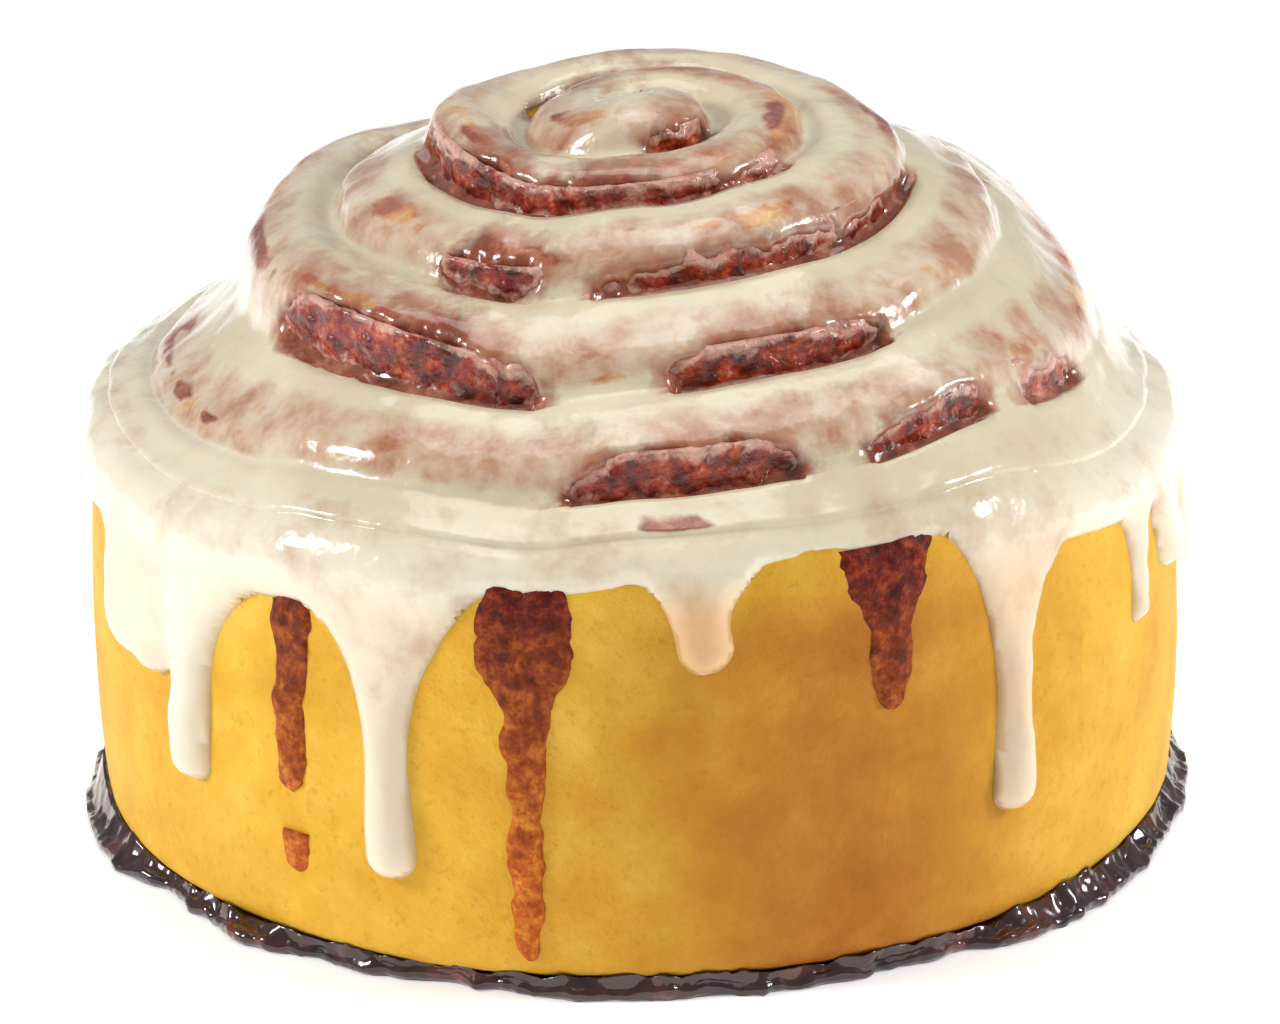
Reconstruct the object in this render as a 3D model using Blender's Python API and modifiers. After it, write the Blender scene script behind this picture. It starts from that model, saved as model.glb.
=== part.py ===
"""An iced cinnamon roll, standing on its own puddle of set caramel.

A strip of dough is coiled from the eye outwards, and each turn stands a step
lower than the one inside it. A sheet of cinnamon filling lies between the turns,
icing covers the top and drips down the side, and thick cinnamon runs out from
under the icing. Lengths are in millimetres until a mesh is made, +Z is up, and
the origin is where the roll's axis meets the table, with the front at -Y.
"""
import math

import bmesh
import bpy

MM = 0.001

# The coil: turns are counted from the eye, and the radius grows with each turn.
COLUMNS_PER_TURN = 32
PITCH = 9.2
FRONT_TURN = 5.88
START_COLUMN = 8
WALL_COLUMN = 172
TAIL_COLUMN = 204
CREVICE_HALF = 0.9
GAP = 0.3

# Heights of the coil's crevices: a flat eye, then an even slope outwards.
EYE_HEIGHT = 67.3
EYE_RISE = 3.2
EYE_RISE_TURNS = 0.6
SLOPE = 0.74
SLOPE_START = 17.5
SLOPE_SOFTNESS = 2.5

# The baked dome leans: places across it from left to right, and how much higher each lies.
LEAN = [(-54.0, -1.4), (-46.0, -2.5), (-38.0, -1.8), (-32.0, -0.5), (-23.0, -0.5), (-12.0, -1.1), (0.0, 0.3),
        (10.0, 0.6), (20.0, 0.6), (31.0, 1.8), (47.0, -2.4), (54.0, -1.0)]
LEAN_HEIGHTS = (30.0, 50.0)

# How far the dough stands above the crevice outside it, by turn.
RISERS = [(0.0, 0.5), (0.63, 3.8), (0.88, 4.2), (1.13, 3.2), (1.4, 2.8), (1.63, 3.0), (1.88, 3.2),
          (2.13, 5.8), (2.4, 5.0), (2.63, 4.5), (2.88, 5.0), (3.13, 4.2), (3.4, 4.0), (3.63, 4.0),
          (3.88, 5.0), (4.05, 7.5), (4.2, 8.5), (4.4, 6.5), (4.63, 4.5), (4.88, 5.5), (5.13, 3.0)]

# Height of the outermost turn's rim, by turn.
RIM = [(5.36, 45.5), (5.63, 43.8), (5.88, 45.2), (6.13, 44.0), (6.36, 44.6)]

# Dough
DOUGH_BOTTOM = 1.5
EYE_HOLE_RADIUS = 0.25
LIP_ROUND = (2.4, 1.8)
RIM_ROUND = (5.0, 6.0)
INNER_FOOT_ROUND = 0.4
OUTER_FOOT_ROUND = 3.4
WALL_BULGE = 0.8
WALL_TUCK = 1.4
WALL_TUCK_START = 5.6
WALL_TUCK_TURNS = 0.53
RIM_START = 5.315
RIM_TURNS = 0.12
CROWN = 0.9
TAIL_TAPER_START = 6.08
TAIL_THICKNESS = 1.0
TAIL_CLOSING = 6.28
TAIL_CLOSING_TURNS = 0.08
TAIL_STAND_OFF = 2.9
TAIL_STAND_OFF_TURNS = 0.06

# Filling
FILLING_HALF = 0.6
FILLING_BOTTOM = 1.8
FILLING_BELOW_LIP = 1.0
FILLING_COLUMNS = (10, 168)

# Icing: stand-off from the dough, depth where it lies, and its lower edge round the roll.
ICING_GAP = 0.45
WIDER_GAP = 0.6
WIDER_GAP_TURNS = 0.11
ICING_START_COLUMN = 10
ICING_MAX_DEPTH = 2.6
ICING_EYE_HEIGHT = 72.2
POOL_DEPTH = 1.9
CROWN_DEPTH = 1.3
LIP_DEPTH = 0.9
SKIRT_DEPTH = 1.3
BARE_EDGE_DEPTH = 0.5
BARE_POOL_DEPTH = 0.9
LOW_SKIRT = 0.8
BARE_BAND = 3
SHEET_DEPTH = 1.3
ICING_EDGE = [(-181.0, 37.5), (-120.0, 36.5), (-85.0, 35.8), (-42.0, 37.2), (-9.0, 41.8),
              (18.0, 43.2), (32.0, 42.2), (53.0, 38.4), (80.0, 35.5), (110.0, 36.5), (150.0, 38.0), (182.0, 37.5)]

# Drips: degrees round from the front, tip height, half width, reach to the left and right.
DRIPS = [(-53.8, 14.9, 2.6, 20.0, 9.0), (-27.8, 10.9, 2.8, 9.0, 9.0), (5.2, 33.2, 3.8, 6.5, 6.5),
         (40.6, 13.8, 2.4, 7.0, 7.0), (64.0, 26.0, 1.6, 3.5, 5.0), (98.0, 19.0, 2.6, 6.5, 6.5),
         (128.0, 9.5, 2.9, 7.0, 7.0), (158.0, 26.0, 3.2, 6.0, 6.0), (-170.0, 15.0, 2.4, 5.5, 6.5),
         (-140.0, 28.0, 3.0, 6.0, 6.0), (-112.0, 11.0, 2.7, 7.0, 7.0)]
DRIP_SHOULDER = 0.45
DRIP_FLARE = 0.6
DRIP_DEPTH = 2.4
DRIP_SIDE_STEP = 0.35

# Bare places on the risers, where the filling shows between the sheets of icing, by turn.
BARE_PLACES = [(0.68, 0.874), (1.22, 1.35), (1.8, 2.12), (2.3, 2.42), (2.7, 2.905), (2.935, 3.01),
               (3.2, 3.33), (3.45, 3.58), (3.77, 3.874), (3.925, 4.06), (4.2, 4.32), (4.45, 4.56),
               (4.69, 4.72), (4.75, 4.8), (4.83, 4.91)]

# Caramel
CARAMEL_COLUMNS = 64
CARAMEL_UNDER = 1.2
CARAMEL_REACH = 2.3
CARAMEL_RAGGED = 1.7
CARAMEL_CLIMB = 2.7
CARAMEL_SHOULDER = (0.7, 1.5)

# Cinnamon runs on the side: name, degrees round from the front, and (height, half width) down it.
RUN_DEPTH = 1.2
RUN_COLUMNS = 5
RUN_ROW_STEP = 3.4
RUNS = [
    ("cinnamon_run_left", -39.4, [(18.2, 1.3), (23.0, 1.6), (28.0, 1.4), (33.0, 1.8), (37.5, 2.0)]),
    ("cinnamon_run_left_drop", -39.2, [(9.8, 0.9), (11.8, 1.3), (13.8, 1.0)]),
    ("cinnamon_run_middle", -12.9, [(4.2, 1.3), (14.0, 1.5), (28.0, 2.0), (33.0, 3.6), (42.0, 4.8)]),
    ("cinnamon_run_right", 25.4, [(28.0, 1.3), (31.0, 2.2), (36.0, 2.6), (40.0, 4.6), (43.5, 5.0)]),
]

COLOURS = {"dough": "e8b24c", "filling": "6b2412", "icing": "eadfc2", "caramel": "35100a", "run": "8a3a18"}


def ease(x):
    """Soft step from 0 to 1."""
    x = min(max(x, 0.0), 1.0)
    return x * x * (3.0 - 2.0 * x)


def along(keys, x):
    """Soft curve through (place, value) keys."""
    value = keys[0][1]
    for (x0, y0), (x1, y1) in zip(keys, keys[1:]):
        if x > x0:
            value = y0 + (y1 - y0) * ease((x - x0) / (x1 - x0))
    return value


def turn_at(degrees):
    """Turn of the outermost wall at an angle measured to the right from the front."""
    return FRONT_TURN - degrees / 360.0


def degrees_at(turn):
    """Angle of a turn on the outermost wall, measured to the right from the front."""
    return (FRONT_TURN - turn) * 360.0


def place(radius, turn, height):
    """Point at a radius and height, in the direction of a turn."""
    angle = math.radians(degrees_at(turn))
    across = radius * math.sin(angle)
    low, high = LEAN_HEIGHTS
    height += along(LEAN, across) * ease((height - low) / (high - low))
    return (across * MM, -radius * math.cos(angle) * MM, height * MM)


def crevice_height(turn):
    """Height of the crevice that runs outside a turn of dough."""
    past_eye = (PITCH * turn - SLOPE_START) / SLOPE_SOFTNESS
    drop = SLOPE * SLOPE_SOFTNESS * math.log1p(math.exp(past_eye))
    return EYE_HEIGHT - drop + EYE_RISE * (1.0 - ease(turn / EYE_RISE_TURNS))


class Strip:
    """Measures of the coiled dough's cross-section at one turn."""

    def __init__(self, turn):
        outside = ease((turn - RIM_START) / RIM_TURNS)
        self.inner = max(EYE_HOLE_RADIUS, PITCH * (turn - 1.0) + CREVICE_HALF)
        self.outer = PITCH * turn - CREVICE_HALF - WALL_TUCK * ease((turn - WALL_TUCK_START) / WALL_TUCK_TURNS)
        tail = ease((turn - TAIL_TAPER_START) / (TAIL_COLUMN / COLUMNS_PER_TURN - TAIL_TAPER_START))
        self.outer += (self.inner + TAIL_THICKNESS - self.outer) * tail
        self.inner -= (2.0 * CREVICE_HALF - GAP) * ease((turn - TAIL_CLOSING) / TAIL_CLOSING_TURNS)
        self.width = self.outer - self.inner
        self.inner_top = crevice_height(max(turn - 1.0, 0.0))
        lip = crevice_height(turn) + along(RISERS, turn)
        self.lip = lip + (along(RIM, turn) - lip) * outside
        across = LIP_ROUND[0] + (RIM_ROUND[0] - LIP_ROUND[0]) * outside
        self.round_across = min(across, 0.5 * self.width)
        down = LIP_ROUND[1] + (RIM_ROUND[1] - LIP_ROUND[1]) * outside
        self.round_down = min(down, 1.3 * self.round_across)
        foot = INNER_FOOT_ROUND + (OUTER_FOOT_ROUND - INNER_FOOT_ROUND) * outside
        self.foot = min(foot, 0.5 * self.width)
        self.bulge = WALL_BULGE * ease((turn - WALL_COLUMN / COLUMNS_PER_TURN) / 0.1)
        self.middle = self.inner + 0.6 * (self.width - self.round_across)
        self.crown = 0.5 * (self.inner_top + self.lip) + CROWN * min(1.0, self.width / 6.0)

    def wall(self, height):
        """Radius of the outer face at a height."""
        low = DOUGH_BOTTOM + self.foot
        high = self.lip - self.round_down
        if height < low:
            part = min((low - height) / self.foot, 1.0)
            return self.outer - self.foot * (1.0 - math.sqrt(1.0 - part * part))
        if height > high:
            part = min((height - high) / self.round_down, 1.0)
            return self.outer - self.round_across * (1.0 - math.sqrt(1.0 - part * part))
        part = 2.0 * (height - low) / (high - low) - 1.0
        return self.outer + self.bulge * (1.0 - part * part)

    def section(self):
        """Outline of the strip as (radius, height), from its inner foot outwards and up."""
        corner = 1.0 - math.sqrt(0.5)
        low = DOUGH_BOTTOM + self.foot
        high = self.lip - self.round_down
        return [
            (self.inner, DOUGH_BOTTOM),
            (self.outer - self.foot, DOUGH_BOTTOM),
            (self.outer - corner * self.foot, DOUGH_BOTTOM + corner * self.foot),
            (self.outer, low),
            (self.outer + self.bulge, 0.5 * (low + high)),
            (self.outer, high),
            (self.outer - corner * self.round_across, self.lip - corner * self.round_down),
            (self.outer - self.round_across, self.lip),
            (self.middle, self.crown),
            (self.inner, self.inner_top),
        ]


def tail_stand_off(turn):
    """Extra radius beside the tail, whose end lies on the wall."""
    past_tail = turn - WALL_COLUMN / COLUMNS_PER_TURN
    return TAIL_STAND_OFF * (1.0 - ease(past_tail / TAIL_STAND_OFF_TURNS))


def icing_gap(turn):
    """Space between icing and dough, wider where the strip changes fast beside the tail."""
    wall_start = WALL_COLUMN / COLUMNS_PER_TURN
    at_start = ease(1.0 - abs(turn - wall_start) / WIDER_GAP_TURNS)
    at_tail = ease((turn - TAIL_TAPER_START) / WIDER_GAP_TURNS)
    return ICING_GAP + WIDER_GAP * max(at_start, at_tail)


def drip_offset(turn, drip):
    """Distance round the wall from a drip's middle, in mm, + to the right."""
    return math.radians(degrees_at(turn) - drip[0]) * Strip(turn).outer


def icing_edge(turn):
    """Height of the icing's lower edge on the wall."""
    base = along(ICING_EDGE, degrees_at(turn))
    edge = base
    for drip in DRIPS:
        _, tip, half, left, right = drip
        offset = drip_offset(turn, drip)
        reach = left if offset < 0.0 else right
        away = abs(offset)
        shoulder = tip + DRIP_SHOULDER * (base - tip)
        if away <= half:
            edge = min(edge, tip + half - math.sqrt(half * half - away * away))
        elif away < reach:
            flare = ((away - half) / (reach - half)) ** DRIP_FLARE
            edge = min(edge, shoulder + (base - shoulder) * flare)
    return edge


def drip_roundness(turn):
    """1 along the middle of a drip, 0 at its sides and between drips."""
    roundness = 0.0
    for drip in DRIPS:
        part = drip_offset(turn, drip) / drip[2]
        if abs(part) < 1.0:
            roundness = max(roundness, math.sqrt(1.0 - part * part))
    return roundness


def new_object(name, mesh_builder, material):
    """Object from a bmesh, in the roll's collection."""
    mesh = bpy.data.meshes.new(name)
    mesh_builder.to_mesh(mesh)
    mesh_builder.free()
    mesh.materials.append(material)
    mesh.shade_smooth()
    mesh.set_sharp_from_angle(angle=math.radians(50.0))
    piece = bpy.data.objects.new(name, mesh)
    bpy.data.collections["Cinnamon roll"].objects.link(piece)
    return piece


def food_material(name, hex_colour, roughness):
    """Principled material from an sRGB hex colour."""
    material = bpy.data.materials.new(name)
    material.use_nodes = True
    shader = material.node_tree.nodes["Principled BSDF"]
    channels = [int(hex_colour[i:i + 2], 16) / 255.0 for i in (0, 2, 4)]
    linear = [((c + 0.055) / 1.055) ** 2.4 if c > 0.04045 else c / 12.92 for c in channels]
    shader.inputs["Base Color"].default_value = (*linear, 1.0)
    shader.inputs["Roughness"].default_value = roughness
    shader.inputs["Metallic"].default_value = 0.0
    return material


def add_face(shape, corners):
    """Face through corners in order, without those that fall together."""
    kept = [c for i, c in enumerate(corners) if c is not corners[i - 1]]
    if len(kept) >= 3:
        shape.faces.new(kept)


def loft(sections, closed_path=False):
    """Closed solid through sections of equal length, with flat ends unless the path is closed."""
    shape = bmesh.new()
    rings = [[shape.verts.new(point) for point in section] for section in sections]
    pairs = list(zip(rings, rings[1:]))
    if closed_path:
        pairs.append((rings[-1], rings[0]))
    for near, far in pairs:
        for i in range(len(near)):
            add_face(shape, [near[i - 1], near[i], far[i], far[i - 1]])
    if not closed_path:
        shape.faces.new(rings[0])
        shape.faces.new(rings[-1])
    bmesh.ops.recalc_face_normals(shape, faces=shape.faces)
    return shape


def make_dough(material):
    """The coiled strip from the eye to the tail, which lies thin against the wall."""
    sections = []
    for column in range(START_COLUMN, TAIL_COLUMN + 1):
        turn = column / COLUMNS_PER_TURN
        sections.append([place(r, turn, z) for r, z in Strip(turn).section()])
    new_object("dough", loft(sections), material)


def make_filling(material):
    """The sheet of filling that stands between the turns and shows on the steps."""
    sections = []
    for column in range(FILLING_COLUMNS[0], FILLING_COLUMNS[1] + 1):
        turn = column / COLUMNS_PER_TURN
        middle = PITCH * turn
        top = Strip(turn).lip - FILLING_BELOW_LIP
        shoulder = top - FILLING_HALF
        outline = [(-FILLING_HALF, FILLING_BOTTOM), (FILLING_HALF, FILLING_BOTTOM), (FILLING_HALF, shoulder),
                   (0.0, top), (-FILLING_HALF, shoulder)]
        sections.append([place(middle + x, turn, z) for x, z in outline])
    new_object("cinnamon_filling", loft(sections), material)


def is_bare(column):
    """Whether the riser between this column and the next shows its filling."""
    middle = (column + 0.5) / COLUMNS_PER_TURN
    return any(start < middle < end for start, end in BARE_PLACES)


def wall_turns():
    """Turns of the columns of icing on the wall: the coil's own, and closer ones at the drips."""
    turns = [column / COLUMNS_PER_TURN for column in range(WALL_COLUMN, TAIL_COLUMN + 1)]
    extra = []
    for degrees, _, half, left, right in DRIPS:
        offsets = [-left, -half - 0.45 * (left - half), -half - DRIP_SIDE_STEP, -half, -0.75 * half, 0.0]
        offsets += [0.75 * half, half, half + DRIP_SIDE_STEP, half + 0.45 * (right - half), right]
        radius = Strip(turn_at(degrees)).outer
        extra += [turn_at(degrees + math.degrees(offset / radius)) for offset in offsets]
    for turn in extra:
        if turns[0] < turn < max(turns) and min(abs(turn - kept) for kept in turns) > 0.0007:
            turns.append(turn)
    return sorted(turns)


def wall_rows(turn):
    """Heights and depths of the icing down the wall at one turn, from the rim to its edge."""
    strip = Strip(turn)
    edge = icing_edge(turn)
    roundness = drip_roundness(turn)
    shoulder = strip.lip - (1.0 - math.sqrt(0.5)) * strip.round_down
    below = max(strip.lip - strip.round_down, 0.5 * (shoulder + edge))
    bulb = edge + min(2.0, 0.3 * (below - edge))
    heights = [shoulder, below, below + 0.4 * (bulb - below), below + 0.75 * (bulb - below), bulb, edge]
    drip = BARE_EDGE_DEPTH + (DRIP_DEPTH - BARE_EDGE_DEPTH) * roundness
    in_drip = roundness > 0.0 or bulb - edge > 1.9
    body = drip if in_drip else SHEET_DEPTH
    depths = [LIP_DEPTH, SHEET_DEPTH, 0.5 * (SHEET_DEPTH + body), body, max(body, 0.8), 0.6]
    return list(zip(heights, depths))


def tread_points(turn):
    """Radius, height and depth of the icing at the crown and the lip of one turn."""
    strip = Strip(turn)
    above = icing_gap(turn)
    crown_depth = CROWN_DEPTH - (CROWN_DEPTH - BARE_EDGE_DEPTH) * ease((turn - 6.02) / 0.1)
    crown = (strip.middle, strip.crown + above, crown_depth)
    lip = (strip.outer - strip.round_across, strip.lip + above, LIP_DEPTH)
    return [crown, lip]


def step_points(turn, bare_before, bare_after):
    """Radius, height and depth of the icing down a riser, to the pool in the crevice."""
    strip = Strip(turn)
    outward = Strip(turn + 1.0)
    bare = bare_before or bare_after
    room = 0.8 * (outward.middle - outward.inner - 0.4)
    scarce = ease((turn - 5.02) / 0.1)
    pool_height = outward.inner_top + 0.12 + icing_gap(turn + 1.0)
    skirt_height = max(strip.lip - 0.65, 0.5 * (pool_height + strip.lip + GAP))
    if bare_before and bare_after:
        skirt_height = pool_height + LOW_SKIRT
    skirt_depth = SKIRT_DEPTH - (SKIRT_DEPTH - BARE_EDGE_DEPTH) * max(float(bare), scarce)
    pool_depth = min(POOL_DEPTH, room)
    pool_depth -= (pool_depth - BARE_POOL_DEPTH) * float(bare)
    pool_depth *= (1.0 - 0.75 * scarce) * (0.3 + 0.7 * ease((turn - 0.3) / 0.2))
    return [
        (strip.outer - GAP, strip.lip + GAP, BARE_EDGE_DEPTH if bare else LIP_DEPTH),
        (outward.inner + 0.05, skirt_height, skirt_depth),
        (outward.inner + 0.4, pool_height, pool_depth),
    ]


def make_icing(material):
    """The sheet of icing over the coil, open on some risers and dripping down the wall."""
    shape = bmesh.new()
    depth_layer = shape.verts.layers.deform.verify()
    depth_group = 0

    def icing_vertex(radius, turn, height, depth):
        vertex = shape.verts.new(place(radius, turn, height))
        vertex[depth_layer][depth_group] = depth / ICING_MAX_DEPTH
        return vertex

    eye = icing_vertex(0.0, 0.0, ICING_EYE_HEIGHT, CROWN_DEPTH)
    pools = {}
    columns = {}
    for column in range(ICING_START_COLUMN, TAIL_COLUMN + 1):
        turn = column / COLUMNS_PER_TURN
        points = tread_points(turn)
        if column < WALL_COLUMN:
            points += step_points(turn, is_bare(column - 1), is_bare(column))
        columns[column] = [icing_vertex(radius, turn, height, depth) for radius, height, depth in points]
        if column < WALL_COLUMN:
            pools[column] = columns[column][-1]

    start = pools[ICING_START_COLUMN]
    for vertex in columns[ICING_START_COLUMN][:-1]:
        shape.verts.remove(vertex)
    columns[ICING_START_COLUMN] = [start] * 5

    wall = []
    for turn in wall_turns():
        strip = Strip(turn)
        stand_off = icing_gap(turn) + tail_stand_off(turn)
        wall.append([icing_vertex(strip.wall(height) + stand_off, turn, height, depth)
                     for height, depth in wall_rows(turn)])
    tail = Strip(TAIL_COLUMN / COLUMNS_PER_TURN)
    seam = wall[0]
    tail_turn = TAIL_COLUMN / COLUMNS_PER_TURN
    seam[0].co = place(tail.outer + icing_gap(tail_turn), tail_turn, tail.lip + LIP_DEPTH)
    for vertex in wall[-1] + columns[TAIL_COLUMN]:
        shape.verts.remove(vertex)
    wall[-1] = seam
    columns[TAIL_COLUMN] = [seam[0], seam[0]]
    pools[WALL_COLUMN] = seam[0]

    def inner_vertex(column):
        return pools.get(column - COLUMNS_PER_TURN, eye)

    for column in range(ICING_START_COLUMN, TAIL_COLUMN):
        near = [inner_vertex(column)] + columns[column]
        far = [inner_vertex(column + 1)] + columns[column + 1]
        if column + 1 == WALL_COLUMN:
            far += [seam[0]] * 3
        bare = is_bare(column)
        for row in range(min(len(near), len(far)) - 1):
            if not (bare and row == BARE_BAND):
                add_face(shape, [near[row], near[row + 1], far[row + 1], far[row]])

    turns = wall_turns()
    for column in range(WALL_COLUMN, TAIL_COLUMN):
        first = turns.index(column / COLUMNS_PER_TURN)
        last = turns.index((column + 1) / COLUMNS_PER_TURN)
        rim = [wall[i][0] for i in range(first, last + 1)]
        add_face(shape, [columns[column][1]] + rim + [columns[column + 1][1]])
    for near, far in zip(wall, wall[1:]):
        for row in range(len(near) - 1):
            add_face(shape, [near[row], near[row + 1], far[row + 1], far[row]])

    bmesh.ops.recalc_face_normals(shape, faces=shape.faces)
    eye.normal_update()
    if eye.normal.z < 0.0:
        bmesh.ops.reverse_faces(shape, faces=shape.faces)
    icing = new_object("icing", shape, material)
    icing.vertex_groups.new(name="depth")
    thicken = icing.modifiers.new("Depth", "SOLIDIFY")
    thicken.thickness = ICING_MAX_DEPTH * MM
    thicken.offset = 1.0
    thicken.vertex_group = "depth"


def make_caramel(material):
    """The puddle of set caramel under the roll, ragged outside and drawn up at the dough's foot."""
    shoulder, high = CARAMEL_SHOULDER
    profiles = []
    for column in range(1, CARAMEL_COLUMNS + 1):
        turn = WALL_COLUMN / COLUMNS_PER_TURN + column / CARAMEL_COLUMNS
        angle = math.radians(degrees_at(turn))
        ragged = 0.5 * math.sin(5.0 * angle + 1.0) + 0.3 * math.sin(11.0 * angle) + 0.35 * math.sin(17.0 * angle)
        reach = CARAMEL_REACH + CARAMEL_RAGGED * ragged
        climb = CARAMEL_CLIMB + 0.5 * abs(math.sin(angle)) + 0.25 * math.sin(7.0 * angle)
        strip = Strip(turn)
        off = GAP + 0.05 + tail_stand_off(turn)
        corner = 1.0 - math.sqrt(0.5)
        rim = strip.outer + max(reach, 0.8) + 0.6 * tail_stand_off(turn)
        outline = [
            (0.97 * rim, 0.0),
            (rim, 0.6),
            (rim - shoulder, high),
            (0.5 * (rim - shoulder + strip.wall(climb) + off), 0.4 * high + 0.6 * climb),
            (strip.wall(climb) + off, climb),
            (strip.outer - corner * strip.foot + 0.7 * off, DOUGH_BOTTOM + corner * strip.foot - GAP),
            (strip.outer - strip.foot, CARAMEL_UNDER),
        ]
        profiles.append([place(r, turn, z) for r, z in outline])
    shape = bmesh.new()
    rings = [[shape.verts.new(point) for point in profile] for profile in profiles]
    under = shape.verts.new((0.0, 0.0, 0.0))
    top = shape.verts.new((0.0, 0.0, CARAMEL_UNDER * MM))
    for near, far in zip(rings, rings[1:] + rings[:1]):
        add_face(shape, [under, near[0], far[0]])
        add_face(shape, [top, near[-1], far[-1]])
        for row in range(len(near) - 1):
            add_face(shape, [near[row], near[row + 1], far[row + 1], far[row]])
    bmesh.ops.recalc_face_normals(shape, faces=shape.faces)
    new_object("caramel_base", shape, material)


def make_run(name, degrees, widths, material):
    """One run of cinnamon down the wall, under the icing's edge."""
    shape = bmesh.new()
    bottom = widths[0][0]
    top = widths[-1][0]
    count = max(2, round((top - bottom) / RUN_ROW_STEP))
    radius = Strip(turn_at(degrees)).outer
    grid = []
    for row in range(count + 1):
        height = bottom + (top - bottom) * row / count
        half = along(widths, height)
        line = []
        for i in range(RUN_COLUMNS):
            across = 2.0 * i / (RUN_COLUMNS - 1) - 1.0
            turn = turn_at(degrees + math.degrees(across * half / radius))
            lowest_icing = min(icing_edge(turn + step) for step in (-0.005, 0.0, 0.005))
            z = bottom + (min(top, lowest_icing - 0.5) - bottom) * row / count
            line.append(shape.verts.new(place(Strip(turn).wall(z) + GAP, turn, z)))
        grid.append(line)
    for near, far in zip(grid, grid[1:]):
        for i in range(RUN_COLUMNS - 1):
            add_face(shape, [near[i], near[i + 1], far[i + 1], far[i]])
    bmesh.ops.recalc_face_normals(shape, faces=shape.faces)
    face = shape.faces[:][0]
    if face.normal.dot(face.calc_center_median()) < 0.0:
        bmesh.ops.reverse_faces(shape, faces=shape.faces)
    run = new_object(name, shape, material)
    thicken = run.modifiers.new("Depth", "SOLIDIFY")
    thicken.thickness = RUN_DEPTH * MM
    thicken.offset = 1.0


def main():
    for old in list(bpy.data.objects):
        bpy.data.objects.remove(old, do_unlink=True)
    collection = bpy.data.collections.new("Cinnamon roll")
    bpy.context.scene.collection.children.link(collection)
    make_dough(food_material("Baked dough", COLOURS["dough"], 0.55))
    make_filling(food_material("Cinnamon filling", COLOURS["filling"], 0.4))
    make_icing(food_material("Sugar icing", COLOURS["icing"], 0.25))
    make_caramel(food_material("Set caramel", COLOURS["caramel"], 0.2))
    run_material = food_material("Cinnamon run", COLOURS["run"], 0.5)
    for name, degrees, widths in RUNS:
        make_run(name, degrees, widths, run_material)


main()
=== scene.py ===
"""The looks of an iced cinnamon roll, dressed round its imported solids.

Lengths are in millimetres until a mesh is made. Turns are counted outwards from
the eye of the coil, and angles on the wall are degrees to the right of the front.
"""
import itertools
import math
from types import SimpleNamespace

import bpy
import numpy as np
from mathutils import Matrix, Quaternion, Vector


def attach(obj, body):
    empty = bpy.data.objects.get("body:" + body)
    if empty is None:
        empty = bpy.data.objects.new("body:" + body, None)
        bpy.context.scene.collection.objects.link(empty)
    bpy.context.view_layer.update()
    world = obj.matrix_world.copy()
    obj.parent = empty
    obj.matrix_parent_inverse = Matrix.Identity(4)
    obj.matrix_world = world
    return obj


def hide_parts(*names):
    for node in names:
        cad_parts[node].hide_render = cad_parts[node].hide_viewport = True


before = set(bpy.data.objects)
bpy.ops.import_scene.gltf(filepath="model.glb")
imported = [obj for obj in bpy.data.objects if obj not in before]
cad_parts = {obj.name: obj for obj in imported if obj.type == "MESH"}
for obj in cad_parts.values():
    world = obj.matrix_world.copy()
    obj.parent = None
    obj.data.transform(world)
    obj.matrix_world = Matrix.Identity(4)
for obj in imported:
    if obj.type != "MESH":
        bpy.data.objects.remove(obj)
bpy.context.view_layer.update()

MM = 0.001
TINY = 1e-6

# The coil and the wall, as its solids have them
PITCH = 9.2
FRONT_TURN = 5.88
WALL_TURN = 5.375
TAIL_TURN = 6.375
CREVICE_HALF = 0.9
WALL_REACH = 53.0

# The dome's fall from the eye: height of the crevice
EYE_HEIGHT = 67.3
EYE_RISE = 3.2
EYE_RISE_TURNS = 0.6
SLOPE = 0.74
SLOPE_START = 17.5
SLOPE_SOFTNESS = 2.5

# Heights by turn: risers above the crevice, and the outer turn's rim
RISERS = [(0.0, 0.5), (0.63, 3.8), (0.88, 4.2), (1.13, 3.2), (1.4, 2.8), (1.63, 3.0), (1.88, 3.2),
          (2.13, 5.8), (2.4, 5.0), (2.63, 4.5), (2.88, 5.0), (3.13, 4.2), (3.4, 4.0), (3.63, 4.0),
          (3.88, 5.0), (4.05, 7.5), (4.2, 8.5), (4.4, 6.5), (4.63, 4.5), (4.88, 5.5), (5.13, 3.0)]
RIM = [(5.36, 45.5), (5.63, 43.8), (5.88, 45.2), (6.13, 44.0), (6.36, 44.6)]

# The dough's section: pairs give the inner turns' value and the outer turn's
DOUGH_BOTTOM = 1.5
LIP_ACROSS = (2.4, 5.0)
LIP_DOWN = (1.8, 6.0)
FOOT_ROUND = (0.4, 3.4)
RIM_START = 5.315
RIM_TURNS = 0.12
WALL_BULGE = 0.8
WALL_TUCK = 1.4
WALL_TUCK_START = 5.6
WALL_TUCK_TURNS = 0.53
CROWN = 0.9
TAIL_TAPER_START = 6.08
TAIL_THICKNESS = 1.0
TAIL_CLOSING = 1.5
TAIL_CLOSING_START = 6.28
TAIL_CLOSING_TURNS = 0.08
TAIL_STAND_OFF = 2.9
TAIL_STAND_OFF_TURNS = 0.06

# The baked dome leans: places across it from left to right, and how much higher each lies
LEAN = [(-54.0, -1.4), (-46.0, -2.5), (-38.0, -1.8), (-32.0, -0.5), (-23.0, -0.5), (-12.0, -1.1),
        (0.0, 0.3), (10.0, 0.6), (20.0, 0.6), (31.0, 1.8), (47.0, -2.4), (54.0, -1.0)]
LEAN_HEIGHTS = (30.0, 50.0)

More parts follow.
